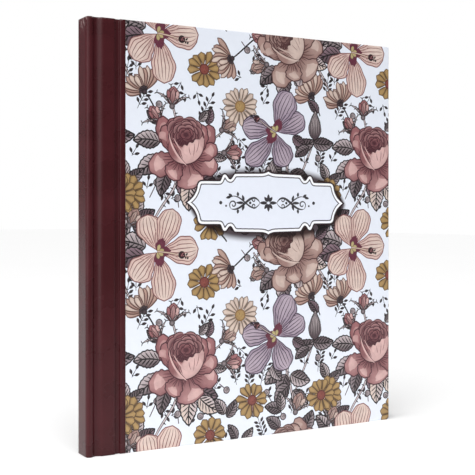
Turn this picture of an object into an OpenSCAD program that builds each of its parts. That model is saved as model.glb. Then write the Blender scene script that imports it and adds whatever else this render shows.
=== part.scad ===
// Post-bound scrapbook album with ten top-loading page sleeves.
// It stands upright on its tail edge: +Z runs up the spine, +X from the spine to the fore edge,
// and the front cover faces -Y. The origin is at the middle of the tail edge.

/* [Album] */
// Width from the spine to the fore edge
album_w = 250; // [200:1:320]
// Height of the covers and the spine
album_h = 290; // [260:1:340]
// Thickness over both closed covers
album_t = 17.4; // [17:0.1:24]
// Thickness of the vinyl and of the printed paper
wrap_t = 0.3; // [0.2:0.05:0.4]

/* [Spine] */
// Thickness of the spine board with its vinyl
spine_w = 4.9; // [4:0.1:6]
// Radius of the spine's two outer corners
spine_r = 1.2; // [0.6:0.1:2]
// Width of the groove between the spine and a binding strip
spine_groove_w = 4.2; // [3.5:0.1:5]
// Depth of that groove
spine_groove_d = 2.2; // [1.6:0.1:2.2]

/* [Binding strips] */
// Width of the rigid strip that the posts clamp
strip_w = 11.4; // [11:0.1:16]
// Radius of the strip's outer edges
strip_r = 0.6; // [0.3:0.1:0.8]
// Width of the groove where a cover hinges
hinge_groove_w = 3.3; // [3:0.1:4]
// Depth of that groove
hinge_groove_d = 1.6; // [1:0.1:1.9]

/* [Covers] */
// Thickness of a cover's board
board_t = 2.0; // [1.8:0.1:2.2]
// Width of the vinyl on the cover beside its groove
vinyl_edge_w = 3.6; // [3:0.1:8]
// Width of the printed paper folded over to the inside
turn_in_w = 15; // [10:1:20]
// Border of turned-in paper left showing round the endpaper
endpaper_border = 4; // [3:0.5:6]
// Thickness of the endpaper
endpaper_t = 0.15; // [0.1:0.05:0.2]

/* [Posts] */
// Number of screw posts
post_count = 3; // [2:1:3]
// Distance from post to post
post_pitch = 108; // [80:1:120]
// Radius of a post barrel
post_r = 2.45; // [2.2:0.05:2.5]
// Radius of a screw's shank inside the barrel
shank_r = 1.65; // [1.4:0.05:1.8]
// Radius of the flat heads
head_r = 4.6; // [4:0.1:4.7]
// Thickness of the flat heads
head_t = 0.9; // [0.7:0.1:1]

/* [Leaves] */
// Number of page sleeves
leaf_count = 10; // [2:1:10]
// Thickness of the page block over all its leaves
block_t = 11; // [11:0.5:12]
// Thickness of a filled sleeve
sleeve_t = 0.75; // [0.7:0.05:0.8]
// Thickness of one clear film
film_t = 0.1; // [0.08:0.01:0.12]
// Gap from the leaves to the head, tail and fore edge of the covers
leaf_inset = 5; // [4:0.5:8]
// Width of the welded edge of a sleeve
weld_w = 2.5; // [2:0.5:4]
// Thickness of the card insert
card_t = 0.45; // [0.3:0.05:0.5]
// Step from one leaf's crease to the next one's
crease_step = 0.6; // [0.55:0.05:0.7]

/* [Hidden] */
two = function (i) str(i < 10 ? "0" : "", i);
LEAF_PARTS = ["stub", "sleeve", "card"];

// Distances along the width are measured from the spine's outer face, and along
// the thickness from the outer face of the front cover. A cover hinges about an
// upright axis at hinge_s, 0.2 mm outside its outer face.
spine_board_t = spine_w - 2 * wrap_t;
strip_start = spine_w + spine_groove_w;
strip_end = strip_start + strip_w;
cover_start = strip_end + hinge_groove_w;
hinge_s = strip_end + hinge_groove_w / 2;
paper_start = cover_start + vinyl_edge_w;
cover_t = 2 * wrap_t + board_t + endpaper_t;
groove_wall = 0.35;
hinge_parting = hinge_s + 0.65;
hinge_gap = 0.15;
block_start = (album_t - block_t) / 2;
flap_t = 0.7;
strip_board_t = block_start - flap_t - wrap_t;
leaf_pitch = block_t / leaf_count;
post_z = [for (i = [0:post_count - 1]) album_h / 2 + (i - (post_count - 1) / 2) * post_pitch];
post_s = strip_start + strip_w / 2;
post_hole_r = 2.6;
head_pocket_r = 5;
head_pocket_d = 1.1;
shank_hole_r = 1.7;
shank_len = 8.5;
stub_start = strip_start + 0.5;
stub_end = hinge_s + 0.85;
stub_t = leaf_pitch - 0.04;
crease_first = hinge_s + 3.05;
crease_gap = 0.3;
pocket_start = hinge_s + 14;
hinge_film_t = 0.15;
lining_t = 0.3;
arc_steps = 6;
past = 1;

vinyl_colour = "#5a2a2c";
paper_colour = "#dfe3ea";
board_colour = "#a89f92";
card_colour = "#f4f1ea";
film_colour = "#dfe9ee";
metal_colour = "#b5a774";

function crease_s(i) = crease_first + (i - 1) * crease_step;
function leaf_y(i) = block_start + (i - 0.5) * leaf_pitch;

// A quarter circle about c, starting at angle a0
function corner_arc(c, r, a0) =
    [for (k = [0:arc_steps]) c + r * [cos(a0 + 90 * k / arc_steps), sin(a0 + 90 * k / arc_steps)]];

// Moves a shape drawn from the spine's outer face and the front face into the album's frame
module placed() translate([-album_w / 2, -album_t / 2, 0]) children();

// The back half of the case is the mirror image of the front half
module flipped() mirror([0, 1, 0]) children();

module block(s0, s1, y0, y1, z0 = 0, z1 = album_h)
    translate([s0, y0, z0]) cube([s1 - s0, y1 - y0, z1 - z0]);

// An upright bar with its two outer edges rounded
module rounded_strip(s0, s1, y0, y1, r)
    linear_extrude(album_h) polygon(concat(
        corner_arc([s0 + r, y0 + r], r, 180),
        corner_arc([s1 - r, y0 + r], r, 270),
        [[s1, y1], [s0, y1]]
    ));

// Round holes through the whole thickness at the three posts
module post_row(r, y0, y1)
    for (z = post_z)
        translate([post_s, y0, z]) rotate([-90, 0, 0]) cylinder(h = y1 - y0, r = r, $fn = 64);

// ---- spine and binding strips

module spine_board() color(board_colour) placed()
    block(wrap_t, wrap_t + spine_board_t, wrap_t, album_t - wrap_t, wrap_t, album_h - wrap_t);

module spine_lining() color(vinyl_colour) placed()
    block(spine_w - wrap_t, spine_w - wrap_t + lining_t, spine_groove_d + wrap_t,
          album_t - spine_groove_d - wrap_t, wrap_t, album_h - wrap_t);

// The vinyl over one strip, its two grooves and its head and tail edges
module strip_covering() difference() {
    union() {
        rounded_strip(strip_start, strip_end, 0, wrap_t + strip_board_t, strip_r);
        block(spine_w - wrap_t, strip_start + wrap_t, spine_groove_d, spine_groove_d + wrap_t);
        block(strip_end - wrap_t, hinge_parting - hinge_gap, hinge_groove_d, hinge_groove_d + wrap_t);
    }
    block(strip_start + wrap_t, strip_end - wrap_t, wrap_t, block_start, wrap_t, album_h - wrap_t);
}

module spine_shell() difference() {
    linear_extrude(album_h) polygon(concat(
        corner_arc([spine_r, spine_r], spine_r, 180),
        [[spine_w, 0], [spine_w, album_t]],
        corner_arc([spine_r, album_t - spine_r], spine_r, 90)
    ));
    block(wrap_t, wrap_t + spine_board_t, wrap_t, album_t - wrap_t, wrap_t, album_h - wrap_t);
    block(spine_w - wrap_t - past / 2, spine_w + past,
          spine_groove_d + wrap_t, album_t - spine_groove_d - wrap_t, -past, album_h + past);
}

module spine_covering() color(vinyl_colour) union() {
    placed() spine_shell();
    placed() strip_covering();
    flipped() placed() strip_covering();
}

module strip_board() placed() difference() {
    block(strip_start + wrap_t, strip_end - wrap_t, wrap_t, wrap_t + strip_board_t, wrap_t, album_h - wrap_t);
    post_row(head_pocket_r, wrap_t + strip_board_t - head_pocket_d, block_start);
}

module post_flap() placed() difference() {
    block(stub_start, strip_end - wrap_t, block_start - flap_t, block_start,
          leaf_inset, album_h - leaf_inset);
    post_row(post_hole_r, block_start - flap_t - past, block_start + past);
}

module front_strip_board() color(board_colour) strip_board();
module back_strip_board() color(board_colour) flipped() strip_board();
module front_post_flap() color(board_colour) post_flap();
module back_post_flap() color(board_colour) flipped() post_flap();

module post_barrels() color(metal_colour) placed() difference() {
    union() {
        post_row(head_r, block_start - flap_t - head_t, block_start - flap_t);
        post_row(post_r, block_start - flap_t - head_t, album_t - block_start + flap_t);
    }
    post_row(shank_hole_r, block_start + past, album_t - block_start + flap_t + past);
}

module post_screws() color(metal_colour) placed() union() {
    post_row(head_r, album_t - block_start + flap_t, album_t - block_start + flap_t + head_t);
    post_row(shank_r, album_t - block_start + flap_t - shank_len, album_t - block_start + flap_t + head_t);
}

// ---- covers, drawn as the front one

module cover_board() placed()
    block(cover_start, album_w - wrap_t, wrap_t, wrap_t + board_t, wrap_t, album_h - wrap_t);

module cover_paper() placed() difference() {
    block(paper_start, album_w, 0, 2 * wrap_t + board_t);
    block(paper_start - past, album_w - wrap_t, wrap_t, wrap_t + board_t, wrap_t, album_h - wrap_t);
    block(paper_start - past, album_w - turn_in_w, board_t, cover_t, turn_in_w, album_h - turn_in_w);
}

module hinge_vinyl() placed() difference() {
    union() {
        rounded_strip(cover_start - groove_wall, paper_start, 0, wrap_t + board_t, strip_r);
        block(hinge_parting + hinge_gap, cover_start, hinge_groove_d, hinge_groove_d + wrap_t);
    }
    block(cover_start, paper_start + past, wrap_t, cover_t, wrap_t, album_h - wrap_t);
}

module endpaper() placed() union() {
    block(paper_start, album_w - turn_in_w, wrap_t + board_t, cover_t, turn_in_w, album_h - turn_in_w);
    block(paper_start, album_w - endpaper_border, 2 * wrap_t + board_t, cover_t,
          endpaper_border, album_h - endpaper_border);
}

module front_board() color(board_colour) cover_board();
module front_cover_paper() color(paper_colour) cover_paper();
module front_hinge_vinyl() color(vinyl_colour) hinge_vinyl();
module front_endpaper() color(card_colour) endpaper();
module back_board() color(board_colour) flipped() cover_board();
module back_cover_paper() color(paper_colour) flipped() cover_paper();
module back_hinge_vinyl() color(vinyl_colour) flipped() hinge_vinyl();
module back_endpaper() color(card_colour) flipped() endpaper();

// ---- leaves, numbered from the front

// The stiff guard that the posts hold, with the clear film that runs on to the crease
module leaf_stub(i) color(card_colour) placed() difference() {
    union() {
        block(stub_start, stub_end, leaf_y(i) - stub_t / 2, leaf_y(i) + stub_t / 2,
              leaf_inset, album_h - leaf_inset);
        block(stub_end, crease_s(i) - crease_gap, leaf_y(i) - hinge_film_t / 2, leaf_y(i) + hinge_film_t / 2,
              leaf_inset, album_h - leaf_inset);
    }
    post_row(post_hole_r, leaf_y(i) - leaf_pitch, leaf_y(i) + leaf_pitch);
}

// Two clear films welded at three edges and open at the head, with the film that bends at the crease
module leaf_sleeve(i) color(film_colour, 0.4) placed() difference() {
    union() {
        block(pocket_start, album_w - leaf_inset, leaf_y(i) - sleeve_t / 2, leaf_y(i) + sleeve_t / 2,
              leaf_inset, album_h - leaf_inset);
        block(crease_s(i) + crease_gap, pocket_start,
              leaf_y(i) - hinge_film_t / 2, leaf_y(i) + hinge_film_t / 2, leaf_inset, album_h - leaf_inset);
    }
    block(pocket_start + weld_w, album_w - leaf_inset - weld_w, leaf_y(i) - sleeve_t / 2 + film_t,
          leaf_y(i) + sleeve_t / 2 - film_t, leaf_inset + weld_w, album_h - leaf_inset + past);
}

// The card that slides into a sleeve from its head
module leaf_card(i) color(card_colour) placed()
    block(pocket_start + 2 * weld_w, album_w - leaf_inset - 2 * weld_w,
          leaf_y(i) - card_t / 2, leaf_y(i) + card_t / 2, leaf_inset + weld_w, album_h - leaf_inset - weld_w);

spine_board();
spine_covering();
spine_lining();
front_strip_board();
back_strip_board();
front_post_flap();
back_post_flap();
post_barrels();
post_screws();
front_board();
front_cover_paper();
front_hinge_vinyl();
front_endpaper();
back_board();
back_cover_paper();
back_hinge_vinyl();
back_endpaper();
for (i = [1:leaf_count]) {
    leaf_stub(i);
    leaf_sleeve(i);
    leaf_card(i);
}
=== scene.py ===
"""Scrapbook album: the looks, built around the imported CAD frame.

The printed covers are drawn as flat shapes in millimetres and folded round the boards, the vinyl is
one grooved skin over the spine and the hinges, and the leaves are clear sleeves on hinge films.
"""
import cmath
import math

import bmesh
import bpy
import numpy as np
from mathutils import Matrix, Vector


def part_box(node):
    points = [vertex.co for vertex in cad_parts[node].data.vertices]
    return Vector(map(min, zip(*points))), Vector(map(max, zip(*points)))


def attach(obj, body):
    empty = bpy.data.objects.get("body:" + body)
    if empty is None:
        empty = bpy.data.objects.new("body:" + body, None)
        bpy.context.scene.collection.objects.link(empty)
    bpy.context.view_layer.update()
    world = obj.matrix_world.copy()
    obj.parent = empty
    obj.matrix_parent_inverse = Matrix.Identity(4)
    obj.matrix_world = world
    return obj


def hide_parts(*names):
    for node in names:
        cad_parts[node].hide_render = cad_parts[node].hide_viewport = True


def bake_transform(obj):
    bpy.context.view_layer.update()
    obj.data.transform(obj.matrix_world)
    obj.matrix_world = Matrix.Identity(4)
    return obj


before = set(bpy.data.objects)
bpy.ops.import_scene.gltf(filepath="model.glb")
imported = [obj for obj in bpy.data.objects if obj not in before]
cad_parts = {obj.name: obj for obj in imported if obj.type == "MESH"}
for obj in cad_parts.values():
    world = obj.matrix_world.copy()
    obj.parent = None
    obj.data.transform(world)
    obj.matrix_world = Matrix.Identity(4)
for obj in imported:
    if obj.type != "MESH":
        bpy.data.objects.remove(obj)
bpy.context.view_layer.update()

MM = 0.001

# ---------------------------------------------------------------- sizes read from the frame


def span(node, axis):
    """Lowest and highest coordinate of a CAD node along one axis, in millimetres."""
    low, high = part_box(node)
    return low[axis] / MM, high[axis] / MM


X, Y, Z = 0, 1, 2
LEFT, RIGHT = span("spine_covering", X)[0], span("front_cover_paper", X)[1]
HEIGHT = span("spine_covering", Z)[1]
HALF_T = -span("spine_covering", Y)[0]
SKIN = 0.3  # thickness of the vinyl over a board
STRIP_START = span("front_strip_board", X)[0] - SKIN
STRIP_END = span("front_strip_board", X)[1] + SKIN
COVER_START = span("front_board", X)[0]
COVER_EDGE = COVER_START - 0.35  # outer face of the vinyl round a cover's hinge edge
PAPER_START = span("front_cover_paper", X)[0]
COVER_T = span("front_cover_paper", Y)[1] + HALF_T
SPINE_W = span("spine_lining", X)[1] - LEFT
PAPER_W = RIGHT - PAPER_START
TURN_IN = 15.0  # how far the paper is turned in behind a board
HINGE_X = (STRIP_END + COVER_START) / 2
LEAVES = sum(name.endswith("_sleeve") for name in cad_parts)


# ---------------------------------------------------------------- colours


def rgb(code):
    """Linear colour from an sRGB hex code."""
    srgb = [int(code[i:i + 2], 16) / 255 for i in (0, 2, 4)]
    return np.array([c / 12.92 if c <= 0.04045 else ((c + 0.055) / 1.055) ** 2.4 for c in srgb])


def mix(a, b, share):
    """Colour between a and b; share may be an array, and the result gains a last axis of three."""
    share = np.clip(np.asarray(share, float), 0, 1)[..., None]
    return a * (1 - share) + b * share


INK = {name: rgb(code) for name, code in {
    "ground": "e3e8f2",
    "line": "130d0f",
    "soft_line": "5a3d40",
    "rose_light": "d8b4b0",
    "rose": "9c686a",
    "rose_dark": "693a40",
    "rose_deep": "48202a",
    "beige_light": "cfbab0",
    "beige": "a98a82",
    "beige_dark": "785652",
    "beige_deep": "4b2b2c",
    "pink": "dcc8be",
    "pink_edge": "cfaea6",
    "pink_line": "7c4c4c",
    "lilac": "b3a4b1",
    "lilac_edge": "8c7c8e",
    "lilac_line": "35253a",
    "burgundy": "6b2f42",
    "lime": "bdae7c",
    "ochre": "b0925f",
    "ochre_dark": "8a6a44",
    "rust": "8a4a40",
    "rust_dark": "5f2c2a",
    "cream": "d8c6ba",
    "cream_dark": "bba392",
    "tan": "ae8b7f",
    "tan_dark": "7e5850",
    "leaf_light": "c6b9bb",
    "leaf": "94878b",
    "leaf_dark": "4e3e44",
    "plum_leaf": "8a727c",
    "plaque_line": "4b474d",
    "ornament": "353237",
}.items()}


# ---------------------------------------------------------------- drawing flat shapes


class Pen:
    """Adds shapes to a list in painter's order. A point is a complex number, in millimetres.

    A shape is a list of (grid of points, grid of colours), all on one layer.
    """

    def __init__(self, shapes, place=lambda p: p):
        self.shapes = shapes
        self.place = place

    def child(self, at=0, angle=0.0):
        """Pen whose own origin is at this place, turned by an angle in degrees."""
        turn = cmath.exp(1j * math.radians(angle))
        return Pen(self.shapes, lambda p: self.place(at + turn * p))

    def fill(self, *grids):
        """Adds one shape made of (points, colours) pairs."""
        self.shapes.append([(self.place(p), np.broadcast_to(c, p.shape + (3,))) for p, c in grids])


def bezier(points, count):
    """Smooth curve that starts at the first point, ends at the last and leans towards the others."""
    t = np.linspace(0, 1, count)
    last = len(points) - 1
    return sum(math.comb(last, k) * t ** k * (1 - t) ** (last - k) * p for k, p in enumerate(points))


def sideways(line):
    """Unit step to the left at each point of a line."""
    step = np.gradient(line)
    return 1j * step / np.maximum(np.abs(step), 1e-9)


def ribbon(line, width, taper=0.75):
    """Points of an ink line that is thinner towards its ends by the share taper."""
    t = np.linspace(0, 1, len(line))
    half = width / 2 * (1 - taper + taper * np.abs(np.sin(np.pi * t)) ** 0.6)
    side = sideways(line) * half
    return np.stack([line - side, line + side], 1)


def stroke(pen, line, width, colour, taper=0.75):
    """One ink line."""
    pen.fill((ribbon(np.asarray(line, complex), width, taper), colour))


def dot(pen, at, radius, inner, outer=None, squash=1.0, sides=14):
    """Round spot whose colour runs from inner to outer."""
    ring = np.exp(2j * np.pi * np.arange(sides + 1) / sides)
    ring = ring.real + 1j * squash * ring.imag
    steps = np.array([0.0, 0.55, 1.0])
    outer = inner if outer is None else outer
    pen.fill((at + radius * steps[:, None] * ring[None, :], mix(inner, outer, steps)[:, None, :]))


def profile(t, widest=0.6, fullness=0.6):
    """Half width along a petal: 0 at both ends and 1 at the share widest of its length."""
    return np.sin(np.pi * t ** (math.log(0.5) / math.log(widest))) ** fullness


def patch(pen, line, left, right, shade, columns=5):
    """Shape along a centre line, with a half width on each side. Returns its two edges."""
    across = np.linspace(-1, 1, columns)[None, :]
    side = sideways(line)
    half = np.where(across > 0, left[:, None], right[:, None]) * across
    t = np.linspace(0, 1, len(line))[:, None]
    pen.fill((line[:, None] + side[:, None] * half, shade(t, across)))
    return line + side * left, line - side * right


def petal(pen, length, width, shade, ink, bend=0.0, widest=0.6, fullness=0.6, veins=0, ruffle=0.03,
          waves=3, line=0.36, vein=0.24, rows=15, columns=5, phase=0.0):
    """Petal that grows along +X, with an inked edge and veins that spread from its root."""
    t = np.linspace(0, 1, rows)
    centre = length * t * np.exp(1j * bend * t ** 1.4)
    half = width / 2 * profile(np.clip(t, 1e-4, 1 - 1e-4), widest, fullness)
    left = half * (1 + ruffle * np.sin(2 * np.pi * waves * t + phase))
    right = half * (1 + ruffle * np.sin(2 * np.pi * waves * t + phase + 2.1))
    edges = patch(pen, centre, left, right, shade, columns)
    side = sideways(centre)
    inside = slice(max(1, rows // 8), rows - max(1, rows // 9))
    lines = []
    for place in np.linspace(-0.78, 0.78, veins):
        reach = centre + side * place * np.where(place > 0, left, right) * (0.92 + 0.08 * t)
        lines.append((ribbon(reach[inside], vein), ink))
    lines.append((ribbon(np.concatenate([edges[0], edges[1][::-1]]), line, taper=0.3), ink))
    pen.fill(*lines)
    return edges


def two_tone(root, tip, edge, start=0.1):
    """Colours that run from the root to the tip, and towards edge at the sides."""
    return lambda t, w: mix(mix(root, tip, (t - start) / 0.6 + 0 * w), edge, 0.75 * np.abs(w + 0 * t) ** 3)


def leaf(pen, length, width, light, dark, ink):
    """Pointed leaf with a midrib and side veins. One half is in the light and the other in shade."""
    rows = 15
    t = np.linspace(0, 1, rows)
    centre = length * t * np.exp(0.25j * t)
    half = width / 2 * profile(np.clip(t, 1e-4, 1 - 1e-4), 0.42, 0.8)
    notch = 1 + 0.05 * np.where(np.arange(rows) % 2, 1, -1)
    bold = min(1.0, length / 17)
    edges = patch(pen, centre, half * notch, half * notch,
                  lambda t, w: mix(light, dark, 0.4 + 0.6 * w + 0.2 * (1 - t)), columns=3)
    side = sideways(centre)
    lines = []
    for k in range(1, rows - 4, 2):
        for hand in (1, -1):
            end = centre[k + 3] + hand * side[k + 3] * half[k + 3] * 0.86
            way = bezier([centre[k], (centre[k + 1] + end) / 2 + 0.3 * hand * side[k], end], 4)
            lines.append((ribbon(way, bold * (1.15 if hand > 0 else 0.8), 0.9), ink))
    lines.append((ribbon(centre, 1.1 * bold, 0.6), ink))
    lines.append((ribbon(np.concatenate([edges[0], edges[1][::-1]]), 0.5 + 0.5 * bold, 0.25), ink))
    pen.fill(*lines)


def stem(pen, points, width, thorns):
    """Stalk with inked sides, and thorns on alternate sides."""
    line = bezier(points, 9)
    stroke(pen, line, width + 0.6, INK["line"], taper=0.2)
    if width > 0.8:
        stroke(pen, line, width - 0.35, INK["leaf_light"], taper=0.2)
    side = sideways(line)
    for k in range(thorns):
        n = 1 + k * (len(line) - 3) // thorns
        hand = side[n] * (1 if k % 2 else -1)
        stroke(pen, line[n] + hand * np.array([0, 0.9, width + 1.3]), 1.1, INK["line"], taper=0.8)


# ---------------------------------------------------------------- flowers


def hibiscus(pen, petals, pistil, face, edge, ink, seed):
    """Open five-petalled flower. petals holds (angle, length, width, bend), back ones first."""
    rng = np.random.default_rng(seed)
    for angle, length, width, bend in petals:
        grown = pen.child(at=1.2 * cmath.exp(1j * math.radians(angle)), angle=angle)
        petal(grown, length, width, two_tone(mix(face, edge, 0.65), face, edge), ink, bend=bend,
              widest=0.68, fullness=0.55, veins=6, vein=0.6, line=0.75, ruffle=0.05,
              phase=rng.uniform(0, 6), rows=17)
        for hand in (1, -1):
            root = 0.16 * length * (1 + 0.25j * hand)
            end = 0.52 * length + 0.3j * hand * width
            stroke(grown, bezier([root, root + 0.2 * length, end], 6), 0.5, mix(edge, ink, 0.5))
    for angle, length, _, bend in petals:
        turn = (angle - pistil + 180) % 360 - 180
        if abs(turn) < 100:
            spot = pen.child(angle=angle)
            wine = INK["burgundy"]
            for ray, reach in ((-24, 0.24), (-11, 0.31), (2, 0.34), (14, 0.29), (26, 0.22)):
                petal(spot.child(angle=ray + 12 * bend), length * reach, 3.6,
                      lambda t, w: mix(wine, wine * 0.75, t + 0 * w), wine, rows=7, columns=3, line=0.3)
    for ray in (pistil - 75, pistil - 25, pistil + 20, pistil + 80):
        petal(pen.child(angle=ray), 5.2, 2.9, two_tone(INK["lime"], INK["lime"], INK["lime"] * 0.6),
              INK["soft_line"], rows=7, columns=3, line=0.3)
    tube = pen.child(angle=pistil)
    way = bezier([0, 9 + 0.6j, 17.5 - 0.4j], 8)
    stroke(tube, way, 1.5, ink, taper=0.2)
    stroke(tube, way, 0.7, mix(face, INK["lime"], 0.3), taper=0.2)
    dot(tube, 18.6, 2.7, INK["rose_deep"], INK["line"], sides=11)
    for _ in range(6):
        dot(tube, 18.6 + rng.uniform(-1.7, 1.7) + 1j * rng.uniform(-1.7, 1.7), 0.45, INK["rose"], sides=5)
    for _ in range(6):
        dot(tube, 22.6 + rng.uniform(-1, 1) + 1j * rng.uniform(-1.9, 1.9), 0.65, INK["line"], sides=6)


def daisy(pen, count, radius, width, face, shade, heart, heart_dark, seed):
    """Open daisy seen from the front."""
    rng = np.random.default_rng(seed)
    for k in rng.permutation(count):
        angle = 360 / count * (k + rng.uniform(-0.18, 0.18))
        reach = radius * rng.uniform(0.9, 1.04)
        ray = pen.child(angle=angle)
        petal(ray.child(at=2.4), reach - 2.4, width * rng.uniform(0.88, 1.1),
              two_tone(shade, face, shade, 0.0), mix(shade, INK["line"], 0.6), widest=0.74, fullness=0.45,
              veins=2, vein=0.45, line=0.62, rows=7, columns=3, ruffle=0.08, waves=1,
              phase=rng.uniform(0, 6))
    dot(pen, 0, radius * 0.3, heart_dark)
    dot(pen, 0, radius * 0.235, heart, mix(heart, heart_dark, 0.35))
    for _ in range(9):
        spot = radius * 0.18 * math.sqrt(rng.uniform(0, 1)) * cmath.exp(2j * math.pi * rng.uniform())
        dot(pen, spot, 0.32, heart_dark, sides=5)


def side_daisy(pen, seed):
    """Daisy seen from behind and to one side; it opens along +X from its calyx."""
    rng = np.random.default_rng(seed)
    fan = [(-84, 17, 1), (78, 15, 1), (-70, 18, 1), (62, 16, 1), (-56, 18, 0), (48, 17, 0), (-42, 16, 1),
           (34, 15, 1), (-28, 16, 0), (20, 14, 0), (-14, 13, 0), (5, 12, 0)]
    for angle, length, shade in fan:
        face = mix(INK["cream"], INK["tan"], 0.7 * shade + 0.15 * rng.uniform())
        petal(pen.child(angle=angle), length * rng.uniform(0.9, 1.06), 4.3,
              two_tone(mix(face, INK["tan_dark"], 0.75), face, mix(face, INK["tan_dark"], 0.35), 0.0),
              INK["tan_dark"] * 0.6, widest=0.7, fullness=0.5,
              bend=-0.3 * math.copysign(1, angle) * rng.uniform(0.3, 1), veins=2, vein=0.45, line=0.6, rows=9,
              columns=3)
    for angle in (-66, -30, 5, 40, 72):
        petal(pen.child(angle=angle), 4.0, 2.2,
              two_tone(INK["line"], INK["leaf_dark"], INK["line"]), INK["line"], rows=6, columns=3, line=0.35)
    dot(pen, -0.6, 1.9, INK["leaf_dark"], INK["line"])


def sepals(pen, blades, length):
    """Narrow blades, each given as (angle, bend), with small teeth down both sides."""
    for angle, bend in blades:
        blade = pen.child(angle=angle)
        petal(blade, length, length * 0.15, two_tone(INK["leaf_dark"], INK["leaf_light"], INK["leaf_dark"]),
              INK["line"], bend=bend, widest=0.32, fullness=0.9, rows=8, columns=3, line=0.42, ruffle=0.1)
        lines = []
        for share in (0.62, 0.95):
            root = length * share * cmath.exp(1j * bend * share)
            for hand in (1, -1):
                tooth = root + np.array([0, 0.7 + 0.7j * hand, 1.1 + 1.9j * hand]) * cmath.exp(1j * bend)
                lines.append((ribbon(tooth, 0.75, 0.6), INK["line"]))
        blade.fill(*lines)


def rosebud(pen, length, face, dark, light, seed):
    """Half-open bud that points along +X, held in toothed sepals."""
    rng = np.random.default_rng(seed)
    deep = dark * 0.35
    sepals(pen, ((40, 0.35), (-38, -0.35), (4, 0.1)), length * 1.15)
    petal(pen, length * 1.05, length * 0.72, two_tone(dark, face, dark), deep, widest=0.5, rows=11, line=0.5)
    for at, angle, reach, wide, tone in ((-0.1j, -16, 0.92, 0.3, light), (0.1j, 15, 0.9, 0.28, face),
                                         (0, 0, 0.98, 0.26, mix(face, light, 0.6))):
        petal(pen.child(at=length * (0.1 + at), angle=angle), length * reach * 0.85, length * wide,
              two_tone(dark, tone, mix(dark, tone, 0.5)), deep, widest=0.55, rows=8, columns=3, line=0.5,
              bend=rng.uniform(-0.1, 0.1))
    for lift in (-0.16, 0.02, 0.18):
        stroke(pen, length * np.array([0.32 + 0.6j * lift, 0.6 + 1j * lift, 0.86 + 0.8j * lift]), 0.5, deep)
    sepals(pen, ((26, 0.3), (-24, -0.3)), length * 0.6)
    dot(pen, -0.2, length * 0.17, INK["leaf"], INK["line"])


def rose_petal(pen, rng, colours, at, angle, length, width, bend, lit):
    """One loose petal of a rose: dark and hatched at its root, with a light patch towards its lip."""
    light, face, dark, deep = colours
    grown = pen.child(at=at, angle=angle)
    tip = mix(face, light, 0.35 * lit)
    petal(grown, length, width, two_tone(mix(dark, face, 0.2), tip, mix(face, dark, 0.6), 0.15), deep,
          bend=bend, widest=0.64, fullness=0.46, line=0.85, rows=17, ruffle=0.075, waves=4,
          phase=rng.uniform(0, 6))
    turned = grown.child(at=length * 0.5 * cmath.exp(0.5j * bend), angle=math.degrees(bend) * 0.7)
    shade = mix(tip, light, 0.4 + 0.6 * lit)
    t = np.linspace(0.01, 0.99, 9)
    half = width * 0.31 * profile(t, 0.7) * (1 + 0.16 * np.sin(4 * np.pi * t + rng.uniform(0, 6)))
    patch(turned.child(at=0.08j * width, angle=rng.uniform(-25, 25)), length * 0.38 * t + 0j, half, half,
          two_tone(tip, shade, mix(tip, shade, 0.7), -0.1), columns=3)
    for k in range(5):
        lean = (k - 2) / 2.6 + rng.uniform(-0.1, 0.1)
        reach = rng.uniform(0.36, 0.6)
        aside = 1j * lean * width / length
        way = [0.1 + 0.05j * lean, 0.6 * reach + 0.3 * aside, reach + 0.42 * aside]
        stroke(grown, bezier([length * w * cmath.exp(1j * bend * abs(w)) for w in way], 6), 0.65,
               mix(dark, deep, 0.6))


def rose_heart(heart, rng, colours):
    """Tight rings of short folded petals round a rose's middle."""
    light, face, dark, deep = colours
    dot(heart, 0, 12.4, deep, mix(dark, face, 0.35), squash=0.94, sides=24)
    for ring, radius in enumerate((11.4, 9.6, 7.8, 6.0, 4.2, 2.4)):
        count = max(3, round(radius * 0.8))
        for k in range(count):
            middle = 2 * math.pi * (k + 0.45 * (ring % 2) + rng.uniform(-0.25, 0.25)) / count + 0.6
            reach = 2 * math.pi / count * rng.uniform(0.5, 0.75)
            arc_at = np.linspace(middle - reach, middle + reach, 9)
            swell = 1 + 0.14 * np.cos(3 * (arc_at - middle)) + rng.uniform(-0.08, 0.08)
            line = radius * (np.cos(arc_at) + 0.92j * np.sin(arc_at)) * swell
            lit = 0.5 + 0.5 * math.sin(middle)
            body = mix(mix(dark, face, 0.2 + 0.75 * lit), light, 0.35 * lit * (ring < 4))
            half = rng.uniform(1.1, 1.8) * np.abs(np.sin(np.linspace(0.12, math.pi - 0.12, 9))) ** 0.6
            patch(heart, line, half, half, lambda t, w: mix(body, deep, 0.45 + 0.55 * w + 0 * t), columns=4)
            stroke(heart, line - sideways(line) * half, 0.8, deep)
    for k in range(9):
        root = 8.5 * cmath.exp(1j * (3.7 + 0.24 * k))
        stroke(heart, bezier([root * 0.45, root, root * rng.uniform(1.15, 1.4)], 5), 1.5, deep, 0.9)


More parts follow.
